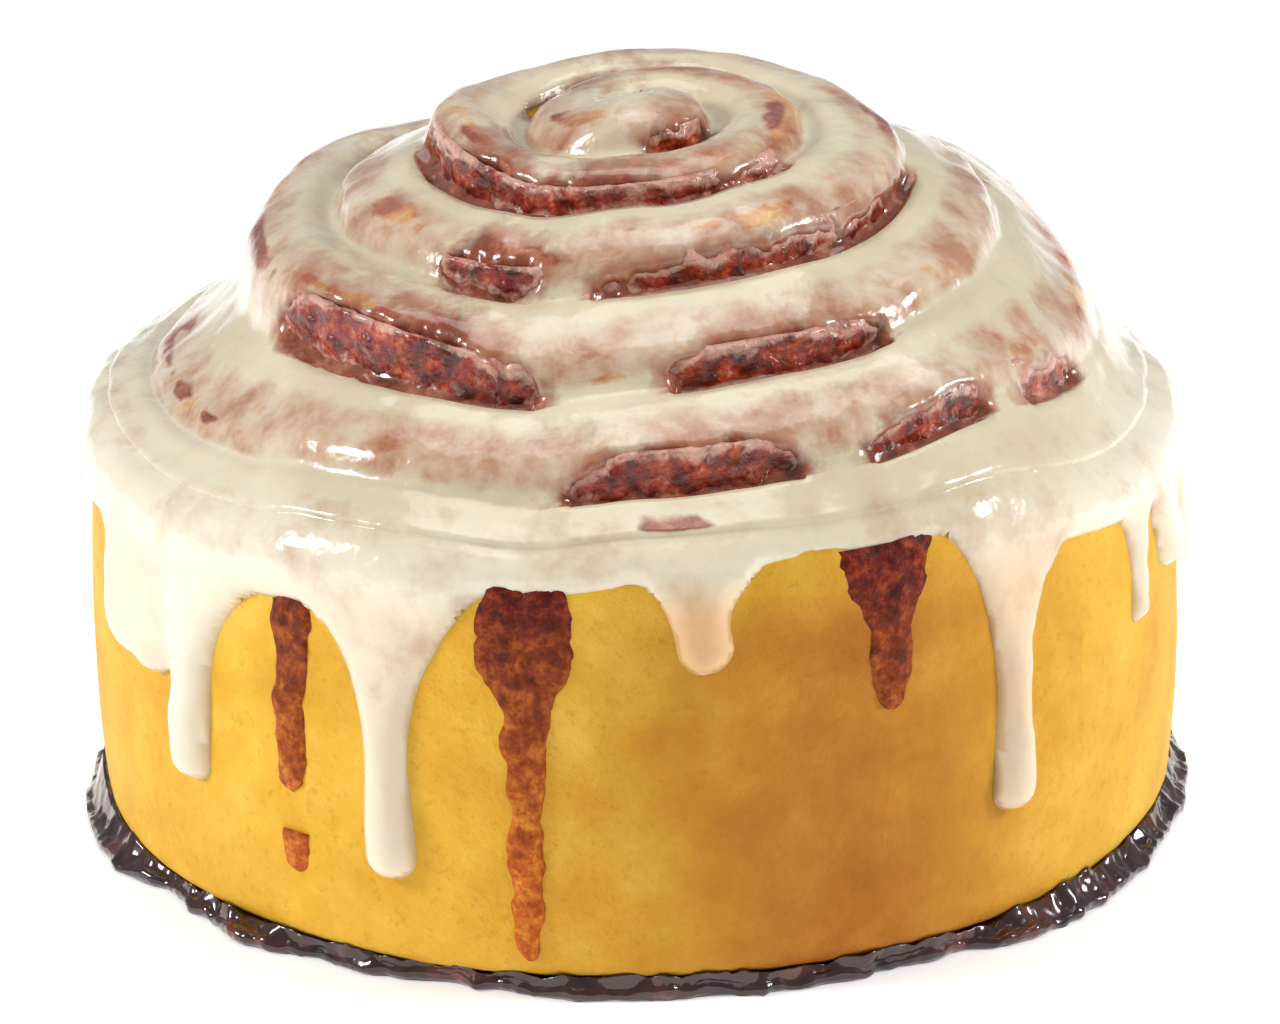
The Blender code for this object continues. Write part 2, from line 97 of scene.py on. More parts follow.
# The icing's lower edge on the wall: degrees and height
ICING_EDGE = [(-181.0, 37.5), (-120.0, 36.5), (-85.0, 35.8), (-42.0, 37.2), (-9.0, 41.8), (18.0, 43.2),
              (32.0, 42.2), (53.0, 38.4), (80.0, 35.5), (110.0, 36.5), (150.0, 38.0), (182.0, 37.5)]

# Drips: degrees, tip height, half widths of neck and bulb, reach of the funnel to left and right, its depth
DRIPS = [(-53.8, 14.9, 2.5, 2.3, 6.0, 9.5, 14.0), (-65.6, 24.4, 5.6, 5.4, 6.0, 6.0, 9.0),
         (-60.0, 24.2, 2.6, 2.4, 4.0, 4.0, 9.0), (-27.8, 10.9, 2.4, 2.7, 9.5, 10.5, 17.0),
         (5.2, 33.2, 2.6, 2.9, 7.0, 7.0, 8.0), (40.6, 13.8, 2.1, 2.5, 8.0, 8.5, 15.0),
         (64.0, 26.0, 1.2, 1.3, 3.5, 4.0, 8.0), (74.5, 28.0, 4.0, 4.2, 5.0, 6.0, 5.0),
         (98.0, 19.0, 2.1, 2.5, 7.0, 7.0, 12.0), (128.0, 9.5, 2.4, 2.9, 8.0, 7.0, 15.0),
         (158.0, 26.0, 2.8, 3.1, 6.0, 6.0, 7.0), (-170.0, 15.0, 2.0, 2.4, 6.0, 7.0, 12.0),
         (-140.0, 28.0, 2.6, 2.9, 6.0, 6.0, 6.0), (-112.0, 11.0, 2.3, 2.7, 7.0, 8.0, 14.0)]

# Bare places on the risers where the filling shows: turns from and to, mm above the crevice
BARE_PLACES = [(0.73, 0.865, 1.0, 3.4), (1.22, 1.35, 1.4, 3.0), (1.74, 1.9, 1.0, 2.2),
               (1.86, 2.02, 1.0, 3.4), (1.98, 2.14, 1.0, 5.0), (2.3, 2.42, 1.5, 4.6),
               (2.66, 2.78, 0.8, 2.4), (2.75, 2.905, 0.6, 3.6), (2.94, 3.0, 2.2, 5.4),
               (3.2, 3.33, 1.5, 4.0), (3.45, 3.58, 1.5, 4.0), (3.775, 3.87, 0.4, 4.6),
               (3.925, 4.0, 0.5, 4.6), (3.95, 4.06, 1.6, 7.2), (4.2, 4.32, 1.6, 7.5),
               (4.45, 4.56, 1.6, 5.5), (4.692, 4.732, 0.6, 3.6), (4.754, 4.802, 0.2, 4.2),
               (4.828, 4.906, 0.0, 5.2)]
WELL_UNDER_ICING = -20.0


def ease(x):
    """Soft step from 0 to 1."""
    x = np.clip(x, 0.0, 1.0)
    return x * x * (3.0 - 2.0 * x)


def blended(ends, part):
    """Value that goes from the first of two ends to the second."""
    return ends[0] + (ends[1] - ends[0]) * part


def along(keys, x):
    """Soft curve through (place, value) keys."""
    value = np.full(np.shape(x), keys[0][1], dtype=float)
    for (x0, y0), (x1, y1) in zip(keys, keys[1:]):
        value = np.where(x > x0, y0 + (y1 - y0) * ease((x - x0) / (x1 - x0)), value)
    return value


def soft_min(a, b, blend):
    """Smaller of two distances, rounded where they cross."""
    near = np.clip(0.5 + 0.5 * (b - a) / blend, 0.0, 1.0)
    return b + (a - b) * near - blend * near * (1.0 - near)


def noise(points, size, seed=0):
    """Smooth lumps about one size across, from -1 to 1."""
    spot = points / size + 13.7 * seed + 100.0
    cell = np.floor(spot).astype(np.int64)
    part = spot - cell
    part = part * part * (3.0 - 2.0 * part)
    total = np.zeros(len(points))
    for corner in itertools.product((0, 1), repeat=3):
        key = (cell + corner) @ np.array([374761393, 668265263, 1274126177])
        key = (key ^ (key >> 13)) * 1103515245
        key = (key ^ (key >> 16)) & 0xffff
        weight = np.prod(np.where(corner, part, 1.0 - part), axis=1)
        total += weight * (key / 32767.5 - 1.0)
    return total


def rough(points, size, seed=0, octaves=3):
    """Noise with finer noise on it, from about -1 to 1."""
    return sum(noise(points, size / 2 ** i, seed + i) / 1.8 ** i for i in range(octaves)) / 1.6


def degrees_at(turn):
    """Angle of a turn, in degrees to the right of the front."""
    return (FRONT_TURN - turn) * 360.0


def place(radius, turn, height):
    """Points at radii and heights, in the direction of turns."""
    angle = np.radians(degrees_at(turn))
    return np.stack([radius * np.sin(angle), -radius * np.cos(angle), height + 0.0 * angle], axis=-1)


def crevice_height(turn):
    """Height of the crevice outside a turn."""
    turn = np.maximum(turn, 0.0)
    past_eye = (PITCH * turn - SLOPE_START) / SLOPE_SOFTNESS
    drop = SLOPE * SLOPE_SOFTNESS * np.log1p(np.exp(past_eye))
    return EYE_HEIGHT - drop + EYE_RISE * (1.0 - ease(turn / EYE_RISE_TURNS))


def strip(turn):
    """Measures of the coiled dough's cross-section at turns."""
    outside = ease((turn - RIM_START) / RIM_TURNS)
    inner = np.maximum(0.0, PITCH * (turn - 1.0) + CREVICE_HALF)
    tuck = WALL_TUCK * ease((turn - WALL_TUCK_START) / WALL_TUCK_TURNS)
    outer = PITCH * turn - CREVICE_HALF * ease(turn / 0.3) - tuck
    tail = ease((turn - TAIL_TAPER_START) / (TAIL_TURN - TAIL_TAPER_START))
    outer = outer + (inner + TAIL_THICKNESS - outer) * tail
    inner = inner - TAIL_CLOSING * ease((turn - TAIL_CLOSING_START) / TAIL_CLOSING_TURNS)
    width = outer - inner
    lip = crevice_height(turn) + along(RISERS, turn)
    lip = lip + (along(RIM, turn) - lip) * outside
    across = np.minimum(blended(LIP_ACROSS, outside), 0.5 * width)
    down = np.minimum(blended(LIP_DOWN, outside), 1.3 * across)
    foot = np.minimum(blended(FOOT_ROUND, outside), 0.5 * width)
    inner_top = crevice_height(turn - 1.0)
    middle = inner + 0.6 * (width - across)
    crown = 0.5 * (inner_top + lip) + CROWN * np.minimum(1.0, width / 6.0)
    bulge = WALL_BULGE * ease((turn - WALL_TURN) / 0.1)
    return SimpleNamespace(inner=inner, outer=outer, lip=lip, across=across, down=down, foot=foot,
                           inner_top=inner_top, middle=middle, crown=crown, bulge=bulge)


def wall_radius(turn, height):
    """Radius of the dough's outer face at a height."""
    s = strip(turn)
    low = DOUGH_BOTTOM + s.foot
    high = s.lip - s.down
    under = np.clip((low - height) / s.foot, 0.0, 1.0)
    over = np.clip((height - high) / s.down, 0.0, 1.0)
    part = np.clip(2.0 * (height - low) / (high - low) - 1.0, -1.0, 1.0)
    tucked = s.foot * (1.0 - np.sqrt(1.0 - under * under)) + s.across * (1.0 - np.sqrt(1.0 - over * over))
    return s.outer - tucked + s.bulge * (1.0 - part * part)


def tail_stand_off(turn):
    """How far icing and caramel stand off the wall, to cover the tail that lies on it."""
    return TAIL_STAND_OFF * (1.0 - ease((turn - WALL_TURN) / TAIL_STAND_OFF_TURNS))


def away_from(centre, degrees):
    """Distance round the wall from a place on it, in mm, more to the right."""
    return ((degrees - centre + 180.0) % 360.0 - 180.0) * math.pi / 180.0 * WALL_REACH


def sheet_edge(degrees):
    """Height of the lower edge of the icing's sheet, drawn down into a funnel above each drip."""
    edge = along(ICING_EDGE, degrees)
    drawn = 0.0 * degrees
    for centre, _, _, _, left, right, depth in DRIPS:
        across = away_from(centre, degrees)
        part = np.clip(1.0 - np.maximum(-across / left, across / right), 0.0, 1.0)
        drawn = np.maximum(drawn, depth * part ** 1.7)
    ring = place(WALL_REACH, FRONT_TURN - degrees / 360.0, 0.0 * degrees).reshape(-1, 3)
    return edge - drawn + 0.5 * rough(ring, 7.0, 71).reshape(degrees.shape)


def icing_outline(degrees, height):
    """Distance outside the icing's outline on the wall, in mm; negative where icing lies."""
    step = 0.3
    slope = (sheet_edge(degrees + step) - sheet_edge(degrees - step)) / (2.0 * away_from(0.0, step))
    distance = (sheet_edge(degrees) - height) / np.sqrt(1.0 + slope * slope)
    for centre, tip, neck, bulb, _, _, _ in DRIPS:
        top = float(along(ICING_EDGE, np.array(centre)))
        low = tip + bulb
        down = np.clip((top - height) / (top - low), 0.0, 1.0)
        bend = 0.5 * math.sin(centre) * np.sin(4.0 * down)
        half = neck + (bulb - neck) * ease((down - 0.6) / 0.4)
        over = height - np.clip(height, low, top)
        drip = np.hypot(away_from(centre, degrees) - bend, over) - half
        distance = soft_min(distance, drip, 2.2)
    return distance


def leaned(points):
    """Points of the even coil moved to where the leaning dome has them."""
    low, high = LEAN_HEIGHTS
    lift = along(LEAN, points[:, 0]) * ease((points[:, 2] - low) / (high - low))
    return points + lift[:, None] * np.array([0.0, 0.0, 1.0])


def mesh_piece(name, points, faces, material, marks=None):
    """Smooth mesh piece from points in mm and a list of faces, with named values on its points."""
    mesh = bpy.data.meshes.new(name)
    mesh.from_pydata([tuple(p) for p in leaned(points) * MM], [], faces)
    for mark, values in (marks or {}).items():
        layer = mesh.attributes.new(mark, "FLOAT", "POINT")
        layer.data.foreach_set("value", np.asarray(values, dtype=np.float32))
    mesh.materials.append(material)
    mesh.validate()
    mesh.shade_smooth()
    piece = bpy.data.objects.new(name, mesh)
    bpy.context.scene.collection.objects.link(piece)
    return piece


def outward(points):
    """Level direction of each point away from the roll's axis."""
    radial = points * [1.0, 1.0, 0.0]
    return radial / np.maximum(np.linalg.norm(radial, axis=1, keepdims=True), TINY)


def grid_faces(many, count, around=False, across=False):
    """Faces between the points of neighbouring sections; around and across say what closes on itself."""
    section = np.arange(many if around else many - 1)[:, None]
    k = np.arange(count if across else count - 1)[None, :]
    i = section * count
    next_i = (section + 1) % many * count
    next_k = (k + 1) % count
    return np.stack([i + k, next_i + k, next_i + next_k, i + next_k], axis=-1).reshape(-1, 4)


def turned_over(faces):
    """The same faces seen from the other side."""
    return faces[:, [0, 3, 2, 1]]


def normals_of(points, faces):
    """Normal of each point of a mesh, from its faces."""
    a = points[faces[:, 2]] - points[faces[:, 0]]
    b = points[faces[:, 3]] - points[faces[:, 1]]
    across = np.cross(a, b)
    normal = np.zeros_like(points)
    for i in range(4):
        np.add.at(normal, faces[:, i], across)
    length = np.linalg.norm(normal, axis=1, keepdims=True)
    return normal / np.maximum(length, 1e-9)


def border_of(faces, count):
    """1 for each point on an open edge of a sheet, 0 for the rest."""
    sides = np.sort(np.stack([faces, np.roll(faces, -1, axis=1)], axis=-1).reshape(-1, 2), axis=1)
    sides, uses = np.unique(sides[sides[:, 0] != sides[:, 1]], axis=0, return_counts=True)
    border = np.zeros(count)
    border[sides[uses == 1].ravel()] = 1.0
    return border


def relax(points, faces, rounds, hold):
    """Points drawn towards their neighbours, except where hold is 1."""
    edges = np.concatenate([faces[:, [k, (k + 1) % 4]] for k in range(4)])
    edges = edges[edges[:, 0] != edges[:, 1]]
    count = np.zeros(len(points))
    np.add.at(count, edges[:, 0], 1.0)
    np.add.at(count, edges[:, 1], 1.0)
    free = 0.5 * (1.0 - hold)
    for _ in range(rounds):
        total = np.zeros_like(points)
        np.add.at(total, edges[:, 0], points[edges[:, 1]])
        np.add.at(total, edges[:, 1], points[edges[:, 0]])
        mean = total / np.maximum(count, 1.0)[:, None]
        points = points + (mean - points) * (free * (count > 0))[:, None]
    return points


def ring_of(corners):
    """Corners of a face in order, without those that fall together."""
    return [int(corner) for k, corner in enumerate(corners) if corner != corners[k - 1]]


def closed_shell(top, under, faces, merged=None):
    """Points and faces of a shell; merged says which inner point stands for each outer one."""
    total = len(top)
    merged = np.arange(total) if merged is None else merged
    open_edges = set()
    shell = []
    for face in faces.tolist():
        ring = ring_of(face)
        if len(ring) < 3:
            continue
        shell.append(ring)
        for k in range(len(ring)):
            edge = (ring[k - 1], ring[k])
            if (edge[1], edge[0]) in open_edges:
                open_edges.remove((edge[1], edge[0]))
            else:
                open_edges.add(edge)
        inner = ring_of([int(merged[i]) + total for i in reversed(ring)])
        if len(set(inner)) >= 3:
            shell.append(inner)
    for a, b in sorted(open_edges):
        shell.append(ring_of([b, a, int(merged[a]) + total, int(merged[b]) + total]))
    return np.concatenate([top, under]), shell


# Columns of the icing: turn from, columns a turn; the outer turns are longer and get more
COLUMN_BLOCKS = [(0.0, 128), (1.375, 256), (2.875, 512), (6.375, 0)]

# Rows of its section, numbered by the guide points that they lie at
STEP_ROWS = [0.0, 0.7, 1.4, 2.0, 2.6, 3.1, 3.5, 3.85, 4.2, 4.5, 4.8, 5.1, 5.4, 5.7, 6.0, 6.35, 6.7]
TREAD_ROWS = 6
EYE_ROW = 3.0
NEXT_TREAD_ROW = 7.0
FIRST_WALL_ROW = 8.0
PAST_COIL = 7.5
RIM_ROWS = 9
RIM_UNMOVED_ROWS = 4
WALL_ROW = 0.55
WALL_LOWEST = 7.0

# Depths and places of the icing
ICING_EYE_HEIGHT = 72.1
POOL_DEPTH = 1.9
CROWN_DEPTH = 1.5
LIP_DEPTH = 1.45
BROW_DEPTH = 0.95
SEAM_POINT = (49.8, 46.4)
SEAM_TURNS = 0.1
WALL_SEAM_TURNS = 0.08
SHEET_DEPTH = 1.25
DRIP_DEPTH = 2.5
OVERHANG = 0.45
OVERHANG_AT = -86.0
OVERHANG_REACH = 26.0
EDGE_ROUND = 2.4
EDGE_TUCK = 0.12
BARE_SINK = 1.3

# Dark dashes of cinnamon in the icing: turn, row of the section, half lengths along and across
DARK_DASHES = [(5.872, 3.0, 0.012, 0.35), (4.872, 6.6, 0.01, 0.12), (4.79, 6.5, 0.004, 0.12),
               (3.975, 6.75, 0.008, 0.1), (3.93, 6.7, 0.004, 0.1), (2.96, 4.0, 0.03, 0.5),
               (2.08, 3.4, 0.02, 0.3), (5.06, 4.2, 0.006, 0.25), (1.3, 3.6, 0.05, 0.3),
               (1.1, 3.3, 0.02, 0.2), (1.66, 3.4, 0.05, 0.4), (5.15, 3.2, 0.008, 0.25),
               (2.6, 4.0, 0.03, 0.5), (4.12, 4.2, 0.03, 0.5), (5.13, 3.9, 0.02, 0.3),
               (5.09, 3.9, 0.01, 0.3)]

# Places where the orange crust shows through: the same measures
CRUST_STREAKS = [(4.03, 3.9, 0.035, 0.3), (4.985, 0.5, 0.016, 0.3), (4.835, 0.8, 0.014, 0.25),
                 (0.3, 3.2, 0.09, 0.6), (1.66, 4.0, 0.06, 0.8), (1.42, 3.2, 0.05, 0.4),
                 (2.08, 3.2, 0.03, 0.5), (3.06, 3.3, 0.02, 0.5), (3.9, 5.6, 0.02, 0.4),
                 (2.8, 3.6, 0.03, 0.3), (4.2, 3.8, 0.03, 0.4), (4.62, 4.0, 0.03, 0.5),
                 (2.45, 3.6, 0.03, 0.4), (3.3, 3.8, 0.03, 0.4), (1.05, 3.4, 0.05, 0.4),
                 (4.4, 3.6, 0.02, 0.5)]

# Drips so thin that the dough warms them: degrees, reach in degrees, how much
SHEER_DRIPS = [(5.2, 9.0, 0.62), (40.6, 7.0, 0.25), (-53.8, 6.0, -0.2)]


def toward_seam(radius, height, weight):
    """Places drawn to the point where the tail's icing ends."""
    return radius + (SEAM_POINT[0] - radius) * weight, height + (SEAM_POINT[1] - height) * weight


def icing_guides(turn):
    """Radii and heights of the seven guide points of the icing's section over each turn."""
    s = strip(turn)
    crevice = crevice_height(turn)
    rise = np.maximum(s.lip - crevice, 0.0)
    eye = ease(turn / 0.35)
    pool = (np.maximum(s.inner + ease((turn - 1.0) / 0.3), 0.0), s.inner_top + POOL_DEPTH)
    crown = (s.middle, s.crown + CROWN_DEPTH)
    tread = (0.5 * (pool[0] + crown[0]), 0.4 * pool[1] + 0.6 * crown[1])
    lip = (s.outer - s.across + 0.5 * eye, s.lip + LIP_DEPTH)
    brow = (s.outer + 0.75 * eye, s.lip + BROW_DEPTH)
    riser = (PITCH * turn + 0.7 * eye, s.lip - 1.1 + 0.5 * (1.0 - eye))
    skirt = (PITCH * turn + 1.1 * eye, crevice + 1.5 + 0.22 * np.maximum(rise - 1.7, 0.0))
    tail = ease((turn - TAIL_TURN + SEAM_TURNS) / SEAM_TURNS)
    end = ease((turn - WALL_TURN + SEAM_TURNS) / SEAM_TURNS) * (turn <= WALL_TURN + TINY)
    past = (1.0 - ease((turn - WALL_TURN) / WALL_SEAM_TURNS)) * (turn > WALL_TURN + TINY)
    outside = np.maximum(tail, np.maximum(end, past))
    inner_guides = [toward_seam(*guide, tail) for guide in (pool, tread, crown)]
    return inner_guides + [toward_seam(*guide, outside) for guide in (lip, brow, riser, skirt)]


def before_eye(turn, radius, height):
    """Guide places, gathered at the eye for turns before the first."""
    return np.where(turn > 0.0, radius, 0.0), np.where(turn > 0.0, height, ICING_EYE_HEIGHT)


def section_point(turn, row):
    """Place of a row of the icing's section, by a B-spline through its guide points."""
    guides = icing_guides(turn)
    last = icing_guides(turn - 1.0)
    after = icing_guides(turn + 1.0)
    first = int(math.floor(row))
    part = row - first
    weights = [(1 - part) ** 3 / 6, (3 * part ** 3 - 6 * part ** 2 + 4) / 6,
               (-3 * part ** 3 + 3 * part ** 2 + 3 * part + 1) / 6, part ** 3 / 6]
    radius = 0.0
    height = 0.0
    for k, weight in zip(range(first - 1, first + 3), weights):
        if k < 0:
            r, z = before_eye(turn - 1.0, *last[k + 7])
        elif k > 6:
            r, z = before_eye(turn, *after[k - 7])
        elif k == 0:
            r, z = before_eye(turn - 1.0, *guides[0])
        else:
            r, z = guides[k]
        radius = radius + weight * r
        height = height + weight * z
    return radius, height


def bare_distance(points, turn):
    """Distance inside the ragged outline of the nearest bare place, in mm; negative under icing."""
    height = points[:, 2] - crevice_height(turn)
    reach = np.hypot(points[:, 0], points[:, 1])
    inside = np.full(len(points), WELL_UNDER_ICING)
    for start, end, low, high in BARE_PLACES:
        half_long = math.pi * (end - start) * reach
        half_high = 0.5 * (high - low)
        across = np.abs(turn - 0.5 * (start + end)) * 2.0 * math.pi * reach
        up = np.abs(height - 0.5 * (low + high))
        end_part = np.clip(across / np.maximum(half_long, 0.1), 0.0, 1.0)
        room = half_high * np.sqrt(1.0 - end_part ** 3) - up
        inside = np.maximum(inside, np.minimum(room, half_long - across))
    return inside + 0.9 * rough(points, 3.4, 5) + 0.45 * noise(points, 1.1, 7)


def icing_turns():
    """Turns of the icing's columns from the eye to the tail."""
    turns = [np.arange(round(start * many), round(end * many)) / many
             for (start, many), (end, _) in zip(COLUMN_BLOCKS, COLUMN_BLOCKS[1:])]
    return np.concatenate(turns + [np.array([TAIL_TURN])])


class Rows:
    """Rows of a sheet's points, with the turn, the row and the column that each point lies at."""

    def __init__(self):
        self.points, self.turns, self.lies, self.columns = [], [], [], []
        self.count = 0

    def add(self, points, turns, lie, columns):
        """Adds a row and gives the numbers of its points."""
        self.points.append(points)
        self.turns.append(turns)
        self.lies.append(np.full(len(turns), lie))
        self.columns.append(columns)
        numbers = self.count + np.arange(len(turns))
        self.count += len(turns)
        return numbers


def lay_coil(rows, turns, wall_first):
    """Rows of icing over treads and risers: the numbers of each column's points, and the faces."""
    last = len(turns) - 1
    many = len(STEP_ROWS)
    index = np.zeros((last + 1, many + 1), dtype=np.int64)
    for row in range(1, many + 1):
        columns = np.arange(last + 1 if row <= TREAD_ROWS else wall_first + 1)
        turn = turns[columns]
        if row < many:
            lie = STEP_ROWS[row]
            radius, height = section_point(turn, lie)
        else:
            lie = NEXT_TREAD_ROW
            radius, height = section_point(turn + 1.0, 0.0)
        index[columns, row] = rows.add(place(radius, turn, height), turn, lie, columns)
    inner = np.searchsorted(turns, turns - 1.0 + TINY, side="right") - 1
    index[:, 0] = np.where(inner >= 0, index[np.maximum(inner, 0), many], 0)
    faces = []
    for row in range(many):
        j = np.arange(last if row < TREAD_ROWS else wall_first)
        here, after = index[j], index[j + 1]
        faces.append(np.stack([here[:, row], here[:, row + 1], after[:, row + 1], after[:, row]], axis=1))
    return index, faces


def wall_heights(turns):
    """Heights of the rows of icing on the wall: round the rim, then evenly down."""
    s = strip(turns)
    leans = np.radians(np.linspace(80.0, 0.0, RIM_ROWS))
    heights = [s.lip - s.down * (1.0 - math.sin(lean)) for lean in leans]
    rim = heights[-1]
    level = np.min(rim)
    for i in range(1, int((level - WALL_LOWEST) / WALL_ROW)):
        heights.append(rim + (level - rim) * min(i / 6.0, 1.0) - WALL_ROW * i)
    return heights


def drawn_to_edge(angle, height):
    """Places on the wall that lie near the icing's outline, moved onto it."""
    for _ in range(3):
        here = icing_outline(angle, height)
        slope_x = icing_outline(angle + 0.1, height) - icing_outline(angle - 0.1, height)
        slope_x = slope_x / away_from(0.0, 0.2)
        slope_z = (icing_outline(angle, height + 0.1) - icing_outline(angle, height - 0.1)) / 0.2
        steep = np.maximum(slope_x ** 2 + slope_z ** 2, 0.05)
        near = np.abs(here) < 0.42
        angle = angle - np.where(near, here * slope_x / steep, 0.0) / away_from(0.0, 1.0)
        height = height - np.where(near, here * slope_z / steep, 0.0)
    return angle, height


def icing_on_wall(row, height, turns):
    """Points of a row of icing on the wall, their turns, and how far outside the outline they lie."""
    degrees = degrees_at(turns)
    angle = degrees
    if row >= RIM_UNMOVED_ROWS:
        angle, height = drawn_to_edge(degrees, height)
        angle = np.concatenate([degrees[:1], angle[1:-1], degrees[-1:]])
    turn = FRONT_TURN - angle / 360.0
    outside = icing_outline(angle, height)
    on_dough = np.clip(turn, WALL_TURN, TAIL_TURN)
    s = strip(on_dough)
    lean = np.clip((height - (s.lip - s.down)) / s.down, 0.0, 1.0)
    body = blended((SHEET_DEPTH, DRIP_DEPTH), ease((38.0 - height) / 18.0))
    overhang = OVERHANG * np.exp(-((angle - OVERHANG_AT) / OVERHANG_REACH) ** 2) * ease((height - 30.0) / 6.0)
    body = body + overhang * (1.0 - lean) ** 2
    in_from_edge = np.clip(-outside, 0.0, EDGE_ROUND) / EDGE_ROUND
    rounded = np.sqrt(np.clip(1.0 - (1.0 - in_from_edge) ** 2, 0.0, 1.0))
    depth = body * rounded - EDGE_TUCK * (1.0 - rounded)
    radius = wall_radius(on_dough, height) + tail_stand_off(turns) + depth * np.sqrt(1.0 - lean * lean)
    seam = np.maximum(1.0 - ease((turns - WALL_TURN) / WALL_SEAM_TURNS),
                      ease((turns - TAIL_TURN + WALL_SEAM_TURNS) / WALL_SEAM_TURNS))
    radius, height = toward_seam(radius, height + depth * lean, seam * max(1.0 - row / 8.0, 0.0))
    return place(radius, turn, height), turn, outside


def lay_wall(rows, turns, wall_first, rim_numbers):
    """Rows of icing down the wall from the rim, and the faces inside the icing's outline."""
    wall_turns = turns[wall_first:]
    columns = wall_first + np.arange(len(wall_turns))
    heights = wall_heights(wall_turns)
    numbers = [rim_numbers]
    covered = [np.ones(len(wall_turns), dtype=bool)]
    for row, height in enumerate(heights):
        points, turn, outside = icing_on_wall(row, height, wall_turns)
        row_numbers = rows.add(points, turn, FIRST_WALL_ROW + row / len(heights), columns)
        row_numbers[-1] = row_numbers[0]
        numbers.append(row_numbers)
        covered.append(outside < 0.06)
    faces = []
    for upper, lower, above, below in zip(numbers, numbers[1:], covered, covered[1:]):
        j = np.nonzero(above[:-1] & above[1:] & below[:-1] & below[1:])[0]
        faces.append(np.stack([upper[j], lower[j], lower[j + 1], upper[j + 1]], axis=1))
    return faces


def inner_face_points(lie, column):
    """Outer point that each point's inner one lies under: every second column shares its neighbour's."""
    keys = list(zip(np.round(lie * 1000.0).astype(np.int64).tolist(), column.tolist()))
    number = {key: i for i, key in enumerate(keys)}
    return np.array([number.get((row, c - 1), i) if c % 2 else i for i, (row, c) in enumerate(keys)])


def dashes(table, turn, lie, wobble):
    """How strongly a table's dashes show at points of the icing."""
    shown = 0.0 * turn
    for at, row, long, wide in table:
        off = np.hypot((turn - at) / long, (lie - row) / wide) + wobble
        shown = np.maximum(shown, ease(1.6 - off))
    return shown


def icing_marks(points, turn, lie, inside):
    """How stained, thin, crusty and sheer the icing is at each point."""
    stain = np.exp(-np.maximum(-inside, 0.0) / 2.2)
    stain = np.maximum(stain, 1.1 * dashes(DARK_DASHES, turn, lie, 0.5 * noise(points, 1.6, 9)))
    crust = dashes(CRUST_STREAKS, turn, lie, 0.5 * noise(points, 2.0, 11))
    past_pool = ease((lie - 1.4) / 1.6)
    on_coil = past_pool * ease((6.4 - lie) / 1.4)
    on_rim = 0.55 * ease((8.6 - lie) / 0.5) * past_pool
    thin = np.where((lie >= PAST_COIL) | (turn > WALL_TURN), on_rim, on_coil)
    height = points[:, 2]
    sheer = 0.26 * ease((43.0 - height) / 7.0) * (1.0 - 0.5 * ease((28.0 - height) / 8.0))
    for at, reach, much in SHEER_DRIPS:
        off = (degrees_at(turn) - at) / reach
        sheer = sheer + much * np.exp(-off * off) * ease((44.0 - height) / 5.0)
    sheer = np.where(lie >= PAST_COIL, sheer + 0.08 * rough(points, 5.0, 13), 0.0)
    return {"stain": stain, "thin": thin, "crust": crust, "sheer": sheer}


def make_icing(material):
    """One shell of icing over the coil, open on the risers and dripping down the wall."""
    turns = icing_turns()
    wall_first = int(np.searchsorted(turns, WALL_TURN - TINY))
    rows = Rows()
    rows.add(np.array([[0.0, 0.0, ICING_EYE_HEIGHT]]), np.array([0.0]), EYE_ROW, np.array([0]))
    index, coil = lay_coil(rows, turns, wall_first)
    wall = lay_wall(rows, turns, wall_first, index[wall_first:, TREAD_ROWS])
    same = np.arange(rows.count)
    same[index[wall_first, TREAD_ROWS + 1:]] = index[wall_first, TREAD_ROWS]
    same[index[-1, 1:TREAD_ROWS + 1]] = index[wall_first, TREAD_ROWS]
    same[index[0, 1:]] = 0
    used, faces = np.unique(same[np.concatenate([*coil, *wall])], return_inverse=True)
    faces = faces.reshape(-1, 4)
    points, turn, lie, column = [np.concatenate(part)[used] for part in
                                 (rows.points, rows.turns, rows.lies, rows.columns)]
    border = border_of(faces, len(points))
    points = relax(points, faces, 4, border)
    points = relax(points, faces, 12, np.maximum(border, ease((turn - 0.2) / 0.2)))
    normal = normals_of(points, faces)
    if normal[:, 2].sum() < 0.0:
        faces = faces[:, ::-1]
        normal = -normal
    on_coil = (lie < PAST_COIL) & (turn < WALL_TURN)
    inside = np.where(on_coil, bare_distance(points, turn), WELL_UNDER_ICING)
    bare = ease(0.5 + inside / 1.4)
    lumps = 0.4 * rough(points, 10.0, 1) + 0.15 * noise(points, 3.2, 3)
    sunk = BARE_SINK * bare * ease((lie - 3.4) / 0.8)
    points = points + normal * (lumps * (1.0 - border) - sunk)[:, None]
    depth = 0.55 + 0.35 * (1.0 - bare) * (1.0 - border)
    under = points - normal * (depth * (0.25 + 0.75 * ease(turn / 0.4)))[:, None]
    shell = closed_shell(points, under, faces, inner_face_points(lie, column))
    marks = {name: np.tile(values, 2) for name, values in icing_marks(points, turn, lie, inside).items()}
    return mesh_piece("icing_sheet", *shell, material, marks)


DOUGH_COLUMNS = 320
EYE_START_TURN = 0.25

# Where the dough is painted darker: the first place, right of the front, is painted shade on the wall, the
# others are browning from the tin. Degrees, reach to each side in mm, how much
BROWNING_AND_SHADE = [(21.0, 21.0, 1.0), (118.0, 20.0, 0.55), (-158.0, 24.0, 0.65)]


